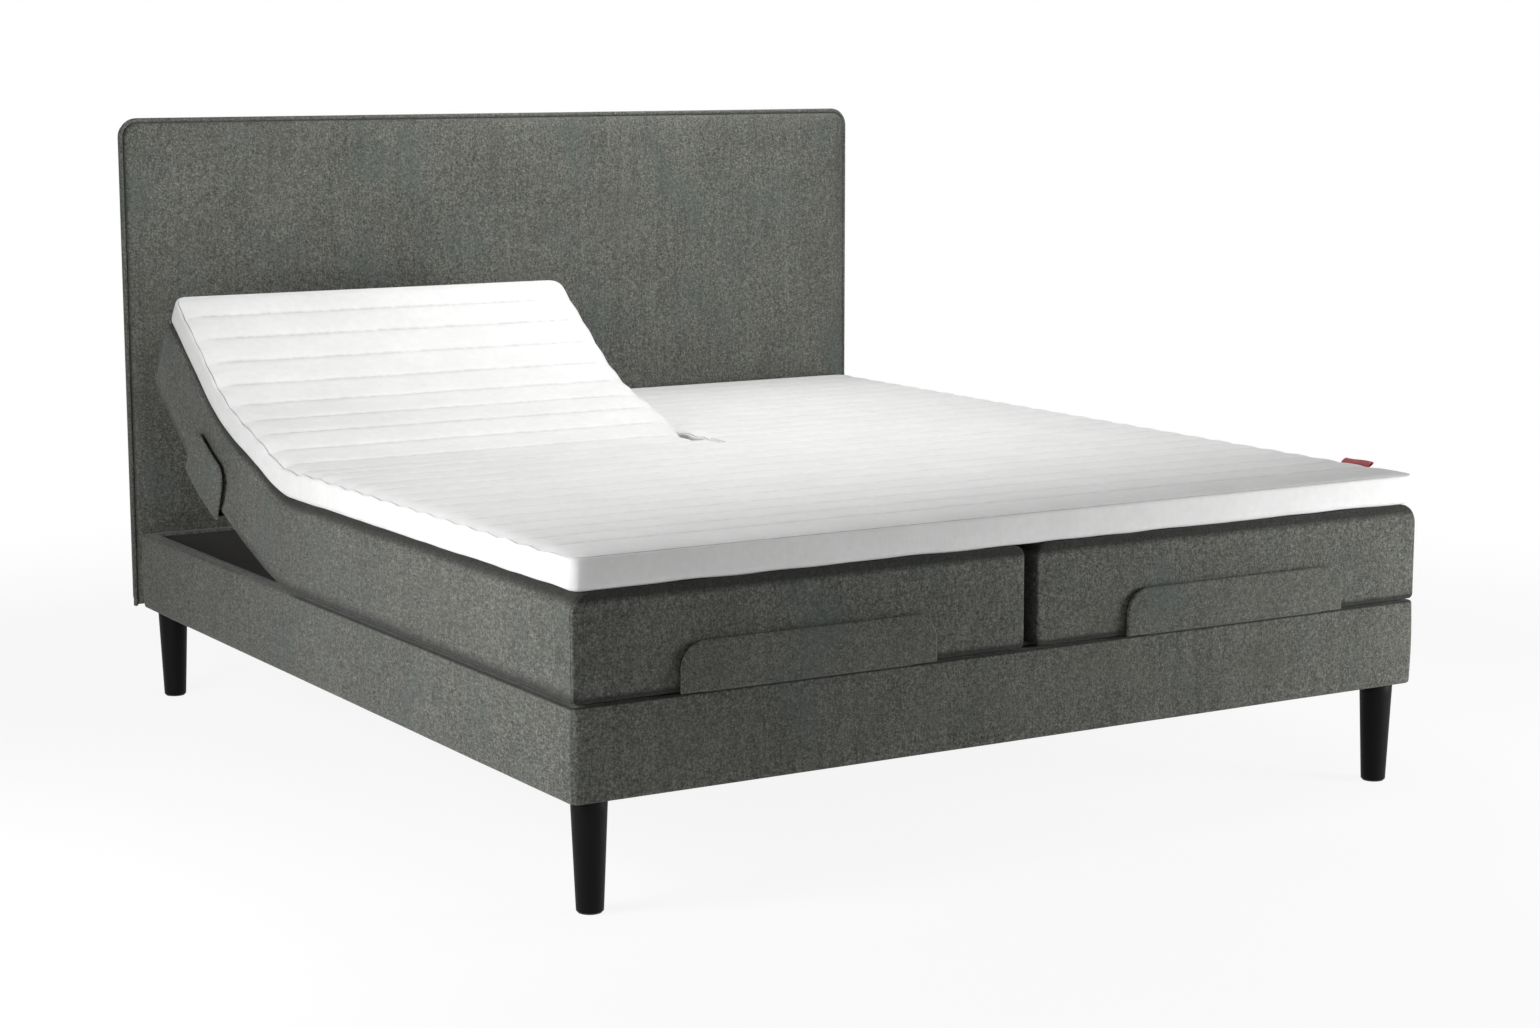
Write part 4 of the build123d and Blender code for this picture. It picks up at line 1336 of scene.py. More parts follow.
        rings = [ring(place, outward, self.cord) for place, outward in zip(line, out)]
        for share in (0.4, 0.75, 0.95):
            radius, drop = self.cord * math.sqrt(1 - share**2), np.array([0.0, 0.6 * self.cord * share])
            rings.insert(0, ring(line[0] - drop, out[0], radius))
            rings.append(ring(line[-1] - drop, out[-1], radius))
        piping = add_piece("headboard_piped_seam", loft(rings), dress(UPHOLSTERY))
        return settle(piping, "upholstery", None, "headboard_piping")

    def make_border(self) -> bpy.types.Object:
        """The band behind the piping, rounded over to its hem on the back."""
        inset, wall, radius, hem = self.border_inset, self.border_wall, self.border_round, self.hem
        start, turn_y = self.seam + self.border_start, self.back - radius
        section = [(-wall, start), (-wall + 1.8, start), (-inset - 0.2, start + 1.8), (-inset, start + 7.0)]
        for angle in np.radians([0, 18, 36, 54, 72, 90]):
            section.append((radius * (math.cos(angle) - 1.0) - inset, turn_y + radius * math.sin(angle)))
        section += [(1.4 - hem, self.back), (-hem, self.back - 1.4), (-hem, self.back - 4.8)]
        section += [(-wall - 1.0, self.back - 5.8), (-wall - 0.6, turn_y)]
        band = hoop([self.loop(offset, y) for offset, y in section])
        border = add_piece("headboard_band", band, dress(UPHOLSTERY))
        return settle(border, "upholstery", 0.3, "headboard_border")

    def make_back_cloth(self) -> bpy.types.Object:
        """The thin cloth stretched over the board's back."""
        inset, y = self.hem + self.cloth_gap, self.back - self.cloth_depth
        a, z0, z1 = self.half_width - inset, self.low + inset, self.high - inset
        rows, ends = np.linspace(z0, z1, self.cloth_rows), np.full(self.cloth_rows, a)
        grid = PadGrid(rows, -ends, ends, self.corner, *(False,) * 4, step=self.cloth_step)
        face = np.column_stack((grid.across.ravel(), np.zeros(grid.across.size), grid.along.ravel()))
        uneven = ripple(face, *self.cloth_uneven).reshape(grid.across.shape)

        def place(points: Array) -> Array:
            """Places of (across, up, height behind the board), seen from behind."""
            return np.column_stack((-points[:, 0], y + points[:, 2], points[:, 1]))

        solid = grid.solid(uneven + self.cloth_thick, uneven, [], place)
        cloth = add_piece("headboard_back_cloth", solid, dress(DustCloth("dust_cloth")))
        2 * a * MM
        (z1 - z0) * MM
        return cloth


@dataclass(frozen=True)
class MattressCore:
    """The flat mattress as rings from foot to head: crisp sewn ends and full sides."""

    inner: float = 10.0
    slack: float = 3.0
    top_round: tuple[float, float] = (38.0, 22.0)
    low_round: float = 10.0
    end_round: float = 4.5
    recess: float = 14.0
    recess_reach: float = 150.0
    clear: float = 9.0
    clear_at: float = 555.0
    clear_reach: float = 140.0
    step: float = 22.0
    # Levels and fade of the painted shade under the topper's edge and along the deck, and the painted shade
    # in the gap between the mattresses.
    crease: float = 516.0
    groove: float = 8.0
    shade_fade: float = 6.0
    gap_shade: float = 0.7
    cuts: tuple[float, ...] = (FOOT_CUT, 75.0, HEAD_CUT)
    counts: tuple[int, int] = (34, 9)
    least_radius: float = 0.8
    held_up: float = 30.0
    end_insets: tuple[float, ...] = (86.0, 70.0, 54.0, 38.0, 24.0, 13.0, 7.0)
    end_full: float = 2.4
    end_reach: float = 80.0
    seam: tuple[tuple[float, float, float], ...] = (
        (0.9, 0.2, 0.0), (1.9, 1.3, 0.6), (3.1, 1.4, 0.6),
        (4.1, 0.2, 0.0), (7.0, 0.0, 0.0), (15.0, 0.0, 0.0),
    )
    swelling: Swelling = Swelling(pressure=14.0, cap=4.0)

    def ring(self, y: float, inset: float) -> Array:
        """The section at one place along the deck, drawn in by an inset."""
        x0, x1 = self.inner + self.slack, HALF_WIDTH - self.slack
        z0, z1 = DECK_TOP, MATTRESS_TOP - self.slack
        low = max(self.low_round - inset, self.least_radius)
        outer, inner = (max(radius - inset, self.least_radius) for radius in self.top_round)
        box = (x0 + inset, x1 - inset, z0 + inset, z1 - inset)
        flat = rounded_loop(box, (low, outer, inner, low), self.counts)
        across = (flat[:, 0] - (x0 + x1) / 2) / ((x1 - x0) / 2)
        up = (flat[:, 1] - (z0 + z1) / 2) / ((z1 - z0) / 2)
        fold = max(math.exp(-(((y - s.value.axis) / self.recess_reach) ** 2)) for s in Span)
        z = flat[:, 1] + self.recess * fold * (up < -0.98) * smooth((1 - np.abs(across)) / 0.12)
        near = np.clip(abs(y - self.clear_at) / self.clear_reach, 0.0, 1.0)
        z = z + self.clear * math.cos(near * math.pi / 2) ** 2 * smooth((-0.80 - up) / 0.12)
        return np.column_stack((flat[:, 0], np.full(len(z), y), z))

    def end_stations(self, end: float, inward: float) -> list[tuple[float, float, float]]:
        """An end face from its middle outward: place along the deck, inset, and whether it is sewn."""
        radius = self.end_round
        stations = []
        for inset in self.end_insets:
            full = self.end_full * swell((inset - radius) / self.end_reach, 2.0)
            stations.append((end - inward * full, inset, 0.0))
        for angle in np.radians([90, 60, 30, 0]):
            place = end + inward * radius * (1 - math.sin(angle))
            stations.append((place, radius * (1 - math.cos(angle)), 0.0))
        for back, inset, sewn in self.seam:
            stations.append((end + inward * (radius + back), inset, sewn))
        return stations

    def stations(self) -> list[tuple[float, float, float]]:
        """Every ring's place, inset and sewing from foot to head; the cuts are among them."""
        foot, head = self.end_stations(FOOT_END, 1.0), self.end_stations(HEAD_END, -1.0)[::-1]
        marks = [foot[-1][0], *self.cuts, head[0][0]]
        middle = []
        for start, end in zip(marks, marks[1:]):
            count = round((end - start) / self.step)
            middle += [(y, 0.0, 0.0) for y in np.linspace(start, end, count + 1)[1:]]
        return foot + middle[:-1] + head

    @functools.cache
    def rings(self) -> tuple[list[Array], Array]:
        """The swollen rings, and how dark each point is painted: seams, and painted shade under the
        topper's edge, along the deck and in the gap between the mattresses.
        """
        stations = self.stations()
        rings = [self.ring(y, inset) for y, inset, _ in stations]
        solid = loft(rings)
        points = solid.all_points()
        sewn = np.repeat([sewing for _, _, sewing in stations], len(rings[0]))
        held = (points[:, 2] < DECK_TOP + self.held_up) | (sewn > 0.5)
        # Painted shade: darker along the bottom edge by the deck, under the topper's edge and on the inner
        # side facing the other mattress.
        under = 1.0 - smooth((points[:, 2] - DECK_TOP - self.groove) / self.shade_fade)
        covered = smooth((points[:, 2] - self.crease) / self.shade_fade)
        inside = points[:, 0] < self.inner + self.slack + 1.0
        between = inside * self.gap_shade * smooth((points[:, 1] - FOOT_END - 6.0) / 20.0)
        shade = np.max((sewn, under, covered, between), axis=0).reshape(len(rings), -1)
        rise = self.swelling.run(solid, held).reshape(len(rings), -1, 3) - np.array(rings)
        away = np.minimum(points[:, 1] - FOOT_END, HEAD_END - points[:, 1]).reshape(len(rings), -1, 1)
        rise = rise * smooth((away - 12.0) / 60.0) * np.array([1.0, 0.0, 1.0])
        return list(np.array(rings) + rise), shade


@dataclass
class Mattress:
    """One mattress, cut at the middle of its sections so that each piece crosses one fold."""

    side: Side
    core: MattressCore = MattressCore()
    wave: float = 190.0
    uneven: float = 0.7

    def nodes(self, span: Span) -> list[str]:
        """The CAD nodes that a piece stands for."""
        word = self.side.word
        return {
            Span.FOOT: [f"mattress_calf_{word}"],
            Span.THIGH: [f"mattress_thigh_{word}", f"mattress_seat_{word}", "mattress_seat_folds"],
            Span.BACK: [f"mattress_back_{word}", f"mattress_seat_{word}", "mattress_seat_folds"],
            Span.HEAD: [f"mattress_neck_{word}", f"mattress_neck_fold_{word}"],
        }[span]

    def build(self) -> list[bpy.types.Object]:
        """Make and dress the pieces.

        Returns:
            The four pieces, foot first.
        """
        rings, seams_and_painted_shade = self.core.rings()
        places = np.array([place for place, _, _ in self.core.stations()])
        cuts = [int(np.argmin(np.abs(places - cut))) for cut in self.core.cuts]
        marks = [0, *cuts, len(rings) - 1]
        pieces = []
        for span, first, last in zip((Span.FOOT, Span.THIGH, Span.BACK, Span.HEAD), marks, marks[1:]):
            part = slice(first, last + 1)
            pieces.append(self.dress_piece(span, loft(rings[part]), seams_and_painted_shade[part].ravel()))
        return pieces

    def dress_piece(self, span: Span, solid: Solid, sewn: Array) -> bpy.types.Object:
        """Lay a flat piece over its unit and dress it.

        Args:
            span: The length of mattress that the piece is.
            solid: The flat piece.
            sewn: How dark each point is painted: seams, and painted shade.

        Returns:
            The piece.
        """
        flat = solid.all_points().copy()
        for axis, seed in ((0, 5.0), (2, 29.0)):
            flat[:, axis] += ripple(flat, self.wave, self.uneven, seed * self.side.value)
        flat[:, 0] *= self.side.value
        solid.points = [bend(flat, self.side)]
        name = f"mattress_{span.name.lower()}_{self.side.word}"
        piece = add_piece(f"{name}_cover", solid, dress(UPHOLSTERY), flat, sewn)
        settle(piece, "upholstery", 0.85, *self.nodes(span))
        hang(piece, span, self.side)
        return piece


@dataclass
class Retainer:
    """An upholstered stop with rounded upper corners on a steel tongue."""

    name: str
    node: str
    body: str
    side: Side
    across: tuple[float, float]
    height: tuple[float, float]
    corner: float
    thick: float
    place: Callable[[Array], Array]
    tongue_place: Callable[[Array], Array]
    tongue: tuple[float, float, float, float]
    fold: Span | None = None
    edge: float = 3.0
    plate: float = 7.5
    lift: float = 2.5
    turned_in: float = 1.2
    crown: float = 0.8
    crown_reach: float = 40.0
    step: float = 24.0
    tongue_corner: float = 6.0
    insets: tuple[float, ...] = (0.0, 0.8, 2.0, 4.0, 7.0, 12.0)

    def build(self) -> list[bpy.types.Object]:
        """Make and dress the stop and its tongue.

        Returns:
            The padded plate and the tongue.
        """
        z0, z1 = self.height[0] + self.lift, self.height[1]
        ease = self.corner * (1 - np.cos(np.linspace(0, math.pi / 2, 9)))
        foot = np.array(self.insets)
        middle = np.linspace(z0 + foot[-1], z1 - self.corner, 5)[1:-1]
        rows = np.concatenate((z0 + foot, middle, z1 - ease[::-1]))
        low, high = (np.full(len(rows), v) for v in self.across)
        grid = PadGrid(rows, low, high, self.corner, free_first=False, step=self.step, edge=self.insets)
        gap = np.minimum(grid.edge_distance(), grid.along - z0)
        rise = np.sqrt(1.0 - (1.0 - np.clip(gap / self.edge, 0, 1)) ** 2)
        full = self.thick - self.edge - self.crown
        height = full + self.edge * rise + self.crown * swell(gap / self.crown_reach, 2.0)
        behind = self.thick - self.plate
        wall = [
            (0.0, lambda edge: edge * 0.4 + behind * 0.6),
            (0.0, lambda edge: np.full(len(edge), behind + self.turned_in)),
        ]
        back = behind + self.turned_in * (1.0 - np.clip(gap / 2.0, 0, 1))
        solid = grid.solid(height, back, wall, self.place)
        pad = add_piece(self.name, solid, dress(TWILL))
        settle(pad, "upholstery", 0.5, self.node)
        plate = add_piece(f"{self.name}_tongue", self.make_tongue(), dress(CoatedSteel("coated_steel")))
        settle(plate, "dark_steel", None, self.node)
        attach(plate, self.body)
        if self.fold is None:
            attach(pad, self.body)
        else:
            hang(pad, self.fold, self.side)
        return [pad, plate]

    def make_tongue(self) -> Solid:
        """The steel plate under the deck's level, with eased corners."""
        a0, a1, reach, thick = self.tongue
        loops = []
        for inset, lift in ((0.5, 0.0), (0.0, 0.5), (0.0, thick - 0.5), (0.5, thick)):
            box = (a0 + inset, a1 - inset, inset - reach, self.thick - self.plate - inset)
            flat = rounded_loop(box, (self.tongue_corner - inset,) * 4, (6, 3), 4)
            level = np.full(len(flat), self.height[0] + lift)
            loops.append(self.tongue_place(np.column_stack((flat[:, 0], level, flat[:, 1]))))
        return loft(loops)


def retainers(side: Side) -> list[Retainer]:
    """The foot stop and the side stop of one unit."""
    s = side.value
    word = side.word
    level = DECK_TOP - 3.0
    raised = math.radians(REST_BACK[side])

    def foot_place(points: Array) -> Array:
        """Places of (across, up, out) on the foot face."""
        return np.column_stack((points[:, 0] * s, FOOT_FACE - points[:, 2], points[:, 1]))

    def beside(points: Array) -> Array:
        """Places of (along, up, out) on the flat unit's side."""
        return np.column_stack(((SIDE_FACE + points[:, 2]) * s, points[:, 0], points[:, 1]))

    def side_place(points: Array) -> Array:
        """Places of (along, up, out) on the mattress's side as it lies."""
        return bend(beside(points), side)

    def back_place(points: Array) -> Array:
        """Places of (along, up, out) on the raised back section's side."""
        return turn(beside(points), Span.BACK.value.axis, raised)

    foot = Retainer(
        name=f"foot_stop_{word}", node=f"foot_retainer_{word}", body=f"calf_{word}", side=side,
        across=(205.0, 705.0), height=(level, DECK_TOP + 84.0), corner=45.0, thick=11.5,
        place=foot_place, tongue_place=foot_place, tongue=(250.0, 660.0, 53.0, 2.6),
    )
    flank = Retainer(
        name=f"side_stop_{word}", node=f"side_retainer_{word}", body=f"back_{word}", side=side,
        across=(543.0, 733.0), height=(level, DECK_TOP + 112.0), corner=40.0, thick=10.0,
        place=side_place, tongue_place=back_place, tongue=(557.0, 602.0, 39.0, 2.6), fold=Span.HEAD,
    )
    return [foot, flank]


@dataclass
class Topper:
    """The white topper: sewn channels across, a plain border and a slit from the head end."""

    half_width: float = 897.0
    band: float = 6.0
    corner: float = 26.0
    low: float = 540.6
    edge_level: float = 592.5
    crest: float = 595.5
    dip: float = 1.5
    scallop: float = 3.8
    pitch: float = 78.0
    first_seam: float = -881.0
    slit_end: float = 55.0
    slit: float = 3.0
    lens: float = 14.0
    lens_end: float = 380.0
    row_gap: float = 1.2
    end_rows: tuple[float, ...] = (0.0, 2.0, 5.0, 9.0, 15.0)
    columns: tuple[float, ...] = (0.0, 2.0, 5.0, 9.0, 14.0, 20.0, 28.0, 38.0, 50.0, 62.0)
    coarse_step: float = 30.0
    fine_step: float = 15.0
    line_steps: int = 800
    head_pitch: float = 0.94
    slit_keep: float = 400.0
    slit_fade: float = 90.0
    crest_reach: float = 45.0
    quilting: float = 2.6
    scallop_reach: float = 34.0
    # thread and thread_shade: width and darkness of the grey line along each sewn line, thread and painted
    # seam shade.
    thread: float = 3.4
    thread_shade: float = 0.62
    pull: tuple[float, float, float] = (46.0, 0.5, 41.0)
    uneven: tuple[float, float, float] = (150.0, 0.6, 53.0)
    hem_wave: tuple[float, float, float] = (90.0, 2.4, 61.0)
    hem_top: float = 560.0
    hem_fade: float = 12.0
    droop: float = 2.4
    droop_reach: float = 40.0
    tag_ends: tuple[float, float] = (-869.0, -794.0)
    tag_place: tuple[float, float] = (899.0, 594.6)
    tag_lean: float = 30.0
    tag_outer: tuple[float, float] = (8.4, 3.0)
    tag_inner: tuple[float, float] = (7.5, 2.1)
    tag_sag: float = 0.8
    tag_wave: float = 13.0
    swelling: Swelling = Swelling(pressure=30.0, cap=1.4)
    fine: tuple[float, ...] = (0.0, 0.03, 0.08, 0.17, 0.3, 0.43, 0.57, 0.7, 0.83, 0.92, 0.97)
    coarse: tuple[float, ...] = (0.0, 0.12, 0.3, 0.5, 0.7, 0.88)
    # Border rings: step out, drop below the rim, and how dark each is painted: thread and painted shade in
    # the edge seam's groove.
    border: tuple[tuple[float, float, float], ...] = (
        (-0.8, -2.0, 1.0), (0.8, -1.8, 1.0), (2.4, -1.0, 0.0),
        (4.4, -1.8, 0.0), (5.6, -4.6, 0.0), (6.0, -9.0, 0.0),
    )
    skirt: tuple[tuple[float, float], ...] = (
        (6.5, 568.0), (6.6, 557.0), (6.2, 547.5), (4.6, 541.8), (1.6, 539.8),
    )

    def seams(self, side: Side | None) -> Array:
        """Places of the sewn lines along the flat topper, even on the surface as it lies at rest."""
        foot = np.arange(self.first_seam, self.slit_end + 1.0, self.pitch)
        if side is None:
            return foot
        y = np.linspace(self.slit_end, HEAD_END, self.line_steps)
        line = bend(np.column_stack((np.zeros(len(y)), y, np.full(len(y), self.crest))), side)
        run = np.concatenate(([0.0], np.cumsum(np.hypot(np.diff(line[:, 1]), np.diff(line[:, 2])))))
        count = round(run[-1] / (self.pitch * self.head_pitch))
        return np.interp(np.arange(count) * run[-1] / count, run, y)

    def rows(self, seams: Array, ends: tuple[float, float], steps: Sequence[float]) -> Array:
        """Rows of points between two ends, close together at the sewn lines.

        Args:
            seams: Places of the sewn lines.
            ends: First and last row.
            steps: Shares of each channel at which rows lie.

        Returns:
            The rows' places, rising.
        """
        start, end = ends
        marks = np.concatenate(([min(start, seams[0] - 1.0)], seams, [max(end, seams[-1] + 1.0)]))
        rows = [a + (b - a) * share for a, b in zip(marks, marks[1:]) for share in steps]
        rows += [row for near in self.end_rows for row in (start + near, end - near)]
        rows = np.array(sorted(row for row in rows if start <= row <= end))
        keep = np.concatenate(([True], np.diff(rows) > self.row_gap))
        keep[-1] = True
        keep[-2] = rows[-1] - rows[-2] > self.row_gap
        return rows[keep]

    def edges(self, rows: Array, side: Side | None) -> tuple[Array, Array]:
        """The face's low and high X on each row; a flap draws back along the slit."""
        outer = np.full(len(rows), self.half_width - self.band)
        if side is None:
            return -outer, outer
        share = np.clip((rows - self.slit_end) / (self.lens_end - self.slit_end), 0.0, 1.0)
        inner = self.slit + self.band + self.lens * np.sin(math.pi * share) ** 2
        return (-outer, -inner) if side is Side.LEFT else (inner, outer)

    def grid(self, rows: Array, side: Side | None, free: tuple[bool, bool], step: float) -> PadGrid:
        """The face of a panel, or of a part of it.

        Args:
            rows: Its rows of points along the flat topper.
            side: The unit it lies on, or None for the undivided foot half.
            free: Whether its foot end and its head end are free edges.
            step: Distance of its points across.

        Returns:
            The grid.
        """
        low, high = self.edges(rows, side)
        radius = self.corner - self.band
        return PadGrid(rows, low, high, radius, True, True, *free, step=step, edge=self.columns)

    def gaps(self, grid: PadGrid, flap: bool) -> tuple[Array, Array]:
        """Distances from any free edge and from the free sides; the slit's end counts as far."""
        gap = grid.edge_distance()
        low, high, _, _ = grid.gaps()
        side_gap = np.minimum(low, high)
        if flap:
            keep = self.slit_keep * (1.0 - smooth((grid.along - self.slit_end) / self.slit_fade))
            inner = np.abs(grid.across) < self.half_width / 2
            gap = gap + np.where(inner, keep, 0.0)
            side_gap = side_gap + np.where(inner, keep, 0.0)
        return gap, side_gap

    def height(self, grid: PadGrid, seams: Array, flap: bool) -> tuple[Array, Array]:
        """The quilted face before it swells: channels that end short of the border.

        Args:
            grid: The face's points.
            seams: Places of the sewn lines.
            flap: Whether the piece borders the slit.

        Returns:
            The level of each point, and how dark it is painted along a sewn line: thread and painted seam
            shade.
        """
        gap, side_gap = self.gaps(grid, flap)
        level = self.edge_level + (self.crest - self.edge_level) * swell(gap / self.crest_reach, 2.0)
        near = np.abs(grid.along[:, :, None] - seams[None, None, :]).min(axis=2)
        close = 1.0 - np.clip(near / (self.pitch / 2), 0.0, 1.0)
        sewn = close**self.quilting
        flat = np.column_stack((grid.across.ravel(), grid.along.ravel(), np.zeros(gap.size)))
        pull = 1.0 + ripple(flat * np.array([1.0, 0.6, 1.0]), *self.pull).reshape(gap.shape)
        fade = smooth((side_gap - 12.0) / 30.0) * smooth((gap - 8.0) / 24.0)
        level -= self.dip * sewn * fade * pull
        level -= self.scallop * close * (1.0 - smooth(side_gap / self.scallop_reach))
        level += ripple(flat, *self.uneven).reshape(gap.shape) * smooth(gap / 40.0)
        # The second value paints each sewn line grey: thread and painted seam shade.
        return level, np.exp(-((near / self.thread) ** 2)) * fade * self.thread_shade

    def wall(self) -> list[tuple[float, Callable[[Array], Array]]]:
        """The border's rings from the edge seam down to the mattress."""
        upper = [(out, lambda edge, drop=drop: edge + drop) for out, drop, _ in self.border]
        lower = [(out, lambda edge, level=level: np.full(len(edge), level)) for out, level in self.skirt]
        return upper + lower

    def puff(self, side: Side | None, ends: tuple[float, float]) -> tuple[PadGrid, Array]:
        """Swell one whole panel between its sewn lines.

        Args:
            side: The unit it lies on, or None for the undivided foot half.
            ends: Its first and last row.

        Returns:
            A coarse grid of the panel's face, and how far each of its points rose.
        """
        seams = self.seams(side)
        rows, free = self.rows(seams, ends, self.coarse), (side is None, side is not None)
        grid = self.grid(rows, side, free, self.coarse_step)
        level, sewn = self.height(grid, seams, side is not None)
        low = np.full(level.shape, self.low)
        solid = grid.solid(level, low, self.wall()[-2:], lambda points: points)
        gap, _ = self.gaps(grid, side is not None)
        held = np.ones(solid.size, bool)
        held[: level.size] = (sewn.ravel() > 0.25) | (gap.ravel() < 4.0)
        rise = (self.swelling.run(solid, held) - solid.all_points())[: level.size, 2]
        return grid, rise.reshape(level.shape)

    def piece(
        self, name: str, grid: PadGrid, side: Side | None, puff: tuple[PadGrid, Array], node: str
    ) -> bpy.types.Object:
        """Make and dress one piece.

        Args:
            name: The piece's name.
            grid: Its face.
            side: The unit it lies on, or None for the undivided foot half.
            puff: The coarse grid of its panel, and how far the panel swelled there.
            node: The CAD node it stands for.

        Returns:
            The piece.
        """
        top, sewn = self.height(grid, self.seams(side), side is not None)
        top = top + puff[0].sample(puff[1], grid)
        near = 1.0 - np.clip(grid.edge_distance() / self.droop_reach, 0.0, 1.0)
        droop = self.droop * near**2
        flat_places: list[Array] = []

        def place(points: Array) -> Array:
            """Keep the flat places and lay them over the unit."""
            wave = ripple(points * np.array([1.0, 1.0, 0.2]), *self.hem_wave)
            low = np.clip((self.hem_top - points[:, 2]) / self.hem_fade, 0.0, 1.0)
            out = np.column_stack((points[:, :2], points[:, 2] + wave * low))
            flat_places.append(out)
            return out if side is None else bend(out, side)

        solid = grid.solid(top, self.low - droop, self.wall(), place)
        rim = len(grid.rim())
        shade = np.zeros(solid.size)
        shade[: top.size] = sewn.ravel()
        # The edge seam's groove rings are painted grey: thread and painted shade.
        for ring, (_, _, sewing) in enumerate(self.border):
            first = top.size + ring * rim
            shade[first : first + rim] = sewing * (np.abs(grid.rim_normals()).sum(axis=1) > 0.1)
        piece = add_piece(name, solid, dress(KNIT), np.vstack(flat_places), shade)
        return settle(piece, "topper_cloth", 0.6, node)

    def build(self) -> list[bpy.types.Object]:
        """Make and dress the foot half, both head flaps and the tag.

        Returns:
            The seven pieces.
        """
        pieces = [self.make_tag()]
        foot, head = FOOT_END + self.band, HEAD_END - self.band
        for side in (None, *Side):
            if side is None:
                marks, spans = (foot, FOOT_CUT, self.slit_end), (Span.FOOT, Span.THIGH)
                names, node = ("topper_foot_end", "topper_middle"), "topper_foot"
            else:
                marks, spans = (self.slit_end, HEAD_CUT, head), (Span.BACK, Span.HEAD)
                names = tuple(f"topper_{part}_{side.word}_quilt" for part in ("back", "head"))
                node = f"topper_head_{side.word}"
            puff = self.puff(side, (marks[0], marks[-1]))
            for name, span, ends in zip(names, spans, zip(marks, marks[1:])):
                rows = self.rows(self.seams(side), ends, self.fine)
                grid = self.grid(rows, side, (ends[0] == foot, ends[1] == head), self.fine_step)
                piece = self.piece(name, grid, side, puff, node)
                hang(piece, span, side or Side.LEFT)
                pieces.append(piece)
        return pieces

    def make_tag(self) -> bpy.types.Object:
        """The ribbon sewn as a flat loop into the right side seam, open at its ends."""
        (y0, y1), lean = self.tag_ends, math.radians(self.tag_lean)
        angles = np.linspace(0, 2 * math.pi, 20, endpoint=False)

        def loop(y: float, wide: float, thick: float) -> Array:
            """One section of the ribbon's loop."""
            along, across = wide * np.cos(angles), thick * np.sin(angles)
            sag = self.tag_sag * math.sin((y - y0) / self.tag_wave)
            x = self.tag_place[0] + along * math.cos(lean) - across * math.sin(lean)
            z = self.tag_place[1] + along * math.sin(lean) + across * math.cos(lean) + sag
            return np.column_stack((x, np.full(len(x), y), z))

        places = np.linspace(y0, y1, 16)
        loops = [loop(y, *self.tag_outer) for y in places]
        loops += [loop(y, *self.tag_inner) for y in places[::-1]]
        tag = add_piece("side_tag", hoop(loops), dress(TagCloth("tag_ribbon")))
        settle(tag, "tag_cloth", None, "fabric_tag")
        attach(tag, f"calf_{Side.LEFT.word}")
        return tag


@dataclass
class Mechanism:
    """The boards, hinged sections, lifts and drives that the CAD model gives, dressed."""

    def finishes(self) -> dict[str, Finish]:
        """A finish for each node that stays in view."""
        lengthwise = StainedWood("wood_lengthwise", Grain.Y)
        crosswise = StainedWood("wood_crosswise", Grain.X)
        steel = CoatedSteel("coated_steel")
        plastic = MouldedPlastic("drive_plastic")
        upright = StainedWood("wood_upright", Grain.Z)
        chosen: dict[str, Finish] = {
            "side_rail_left": lengthwise, "side_rail_right": lengthwise, "support_cleats": lengthwise,
            "centre_beam": lengthwise, "foot_rail": crosswise, "head_rail": crosswise,
            "headboard_panel": crosswise, "corner_blocks": upright, "centre_leg": steel,
            "leg_glides": MouldedPlastic("glide_plastic", (0.045, 0.045, 0.046), (0.10, 0.10, 0.10)),
            "headboard_bolts": ZincSteel("bolt_zinc"), "control_box": plastic,
        }
        for side in Side:
            back = (Span.BACK.value.axis, REST_BACK[side])
            neck = (Span.HEAD.value.axis, REST_NECK[side])
            word = side.word
            flat = DeckSection("deck_flat")
            chosen |= {
                f"seat_tray_{word}": flat, f"thigh_panel_{word}": flat, f"calf_panel_{word}": flat,
                f"back_panel_{word}": DeckSection(f"deck_back_{word}", (back,)),
                f"neck_panel_{word}": DeckSection(f"deck_neck_{word}", (back, neck)),
                f"back_lift_{word}": steel, f"leg_lift_{word}": steel, f"drive_unit_{word}": plastic,
            }
        return chosen

    def build(self) -> None:
        """Give each node its finish."""
        for name, finish in self.finishes().items():
            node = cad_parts[name]
            node.data.materials.clear()
            node.data.materials.append(dress(finish))
            log.info("%s: dressed", name)


@dataclass(frozen=True)
class Lamp:
    """A soft lamp that faces a target: places and face in metres, power in watts."""

    name: str
    place: Point
    target: Point
    size: tuple[float, float]
    power: float

    def build(self) -> None:
        """Hang the lamp, unseen by the camera."""
        data = bpy.data.lights.new(self.name, "AREA")
        data.shape = "RECTANGLE"
        data.size, data.size_y = self.size
        data.energy = self.power
        lamp = bpy.data.objects.new(self.name, data)
        lamp.location = self.place
        lamp.rotation_mode = "QUATERNION"
        lamp.rotation_quaternion = (Vector(self.target) - Vector(self.place)).to_track_quat("-Z", "Y")
        lamp.visible_camera = False
        bpy.context.scene.collection.objects.link(lamp)


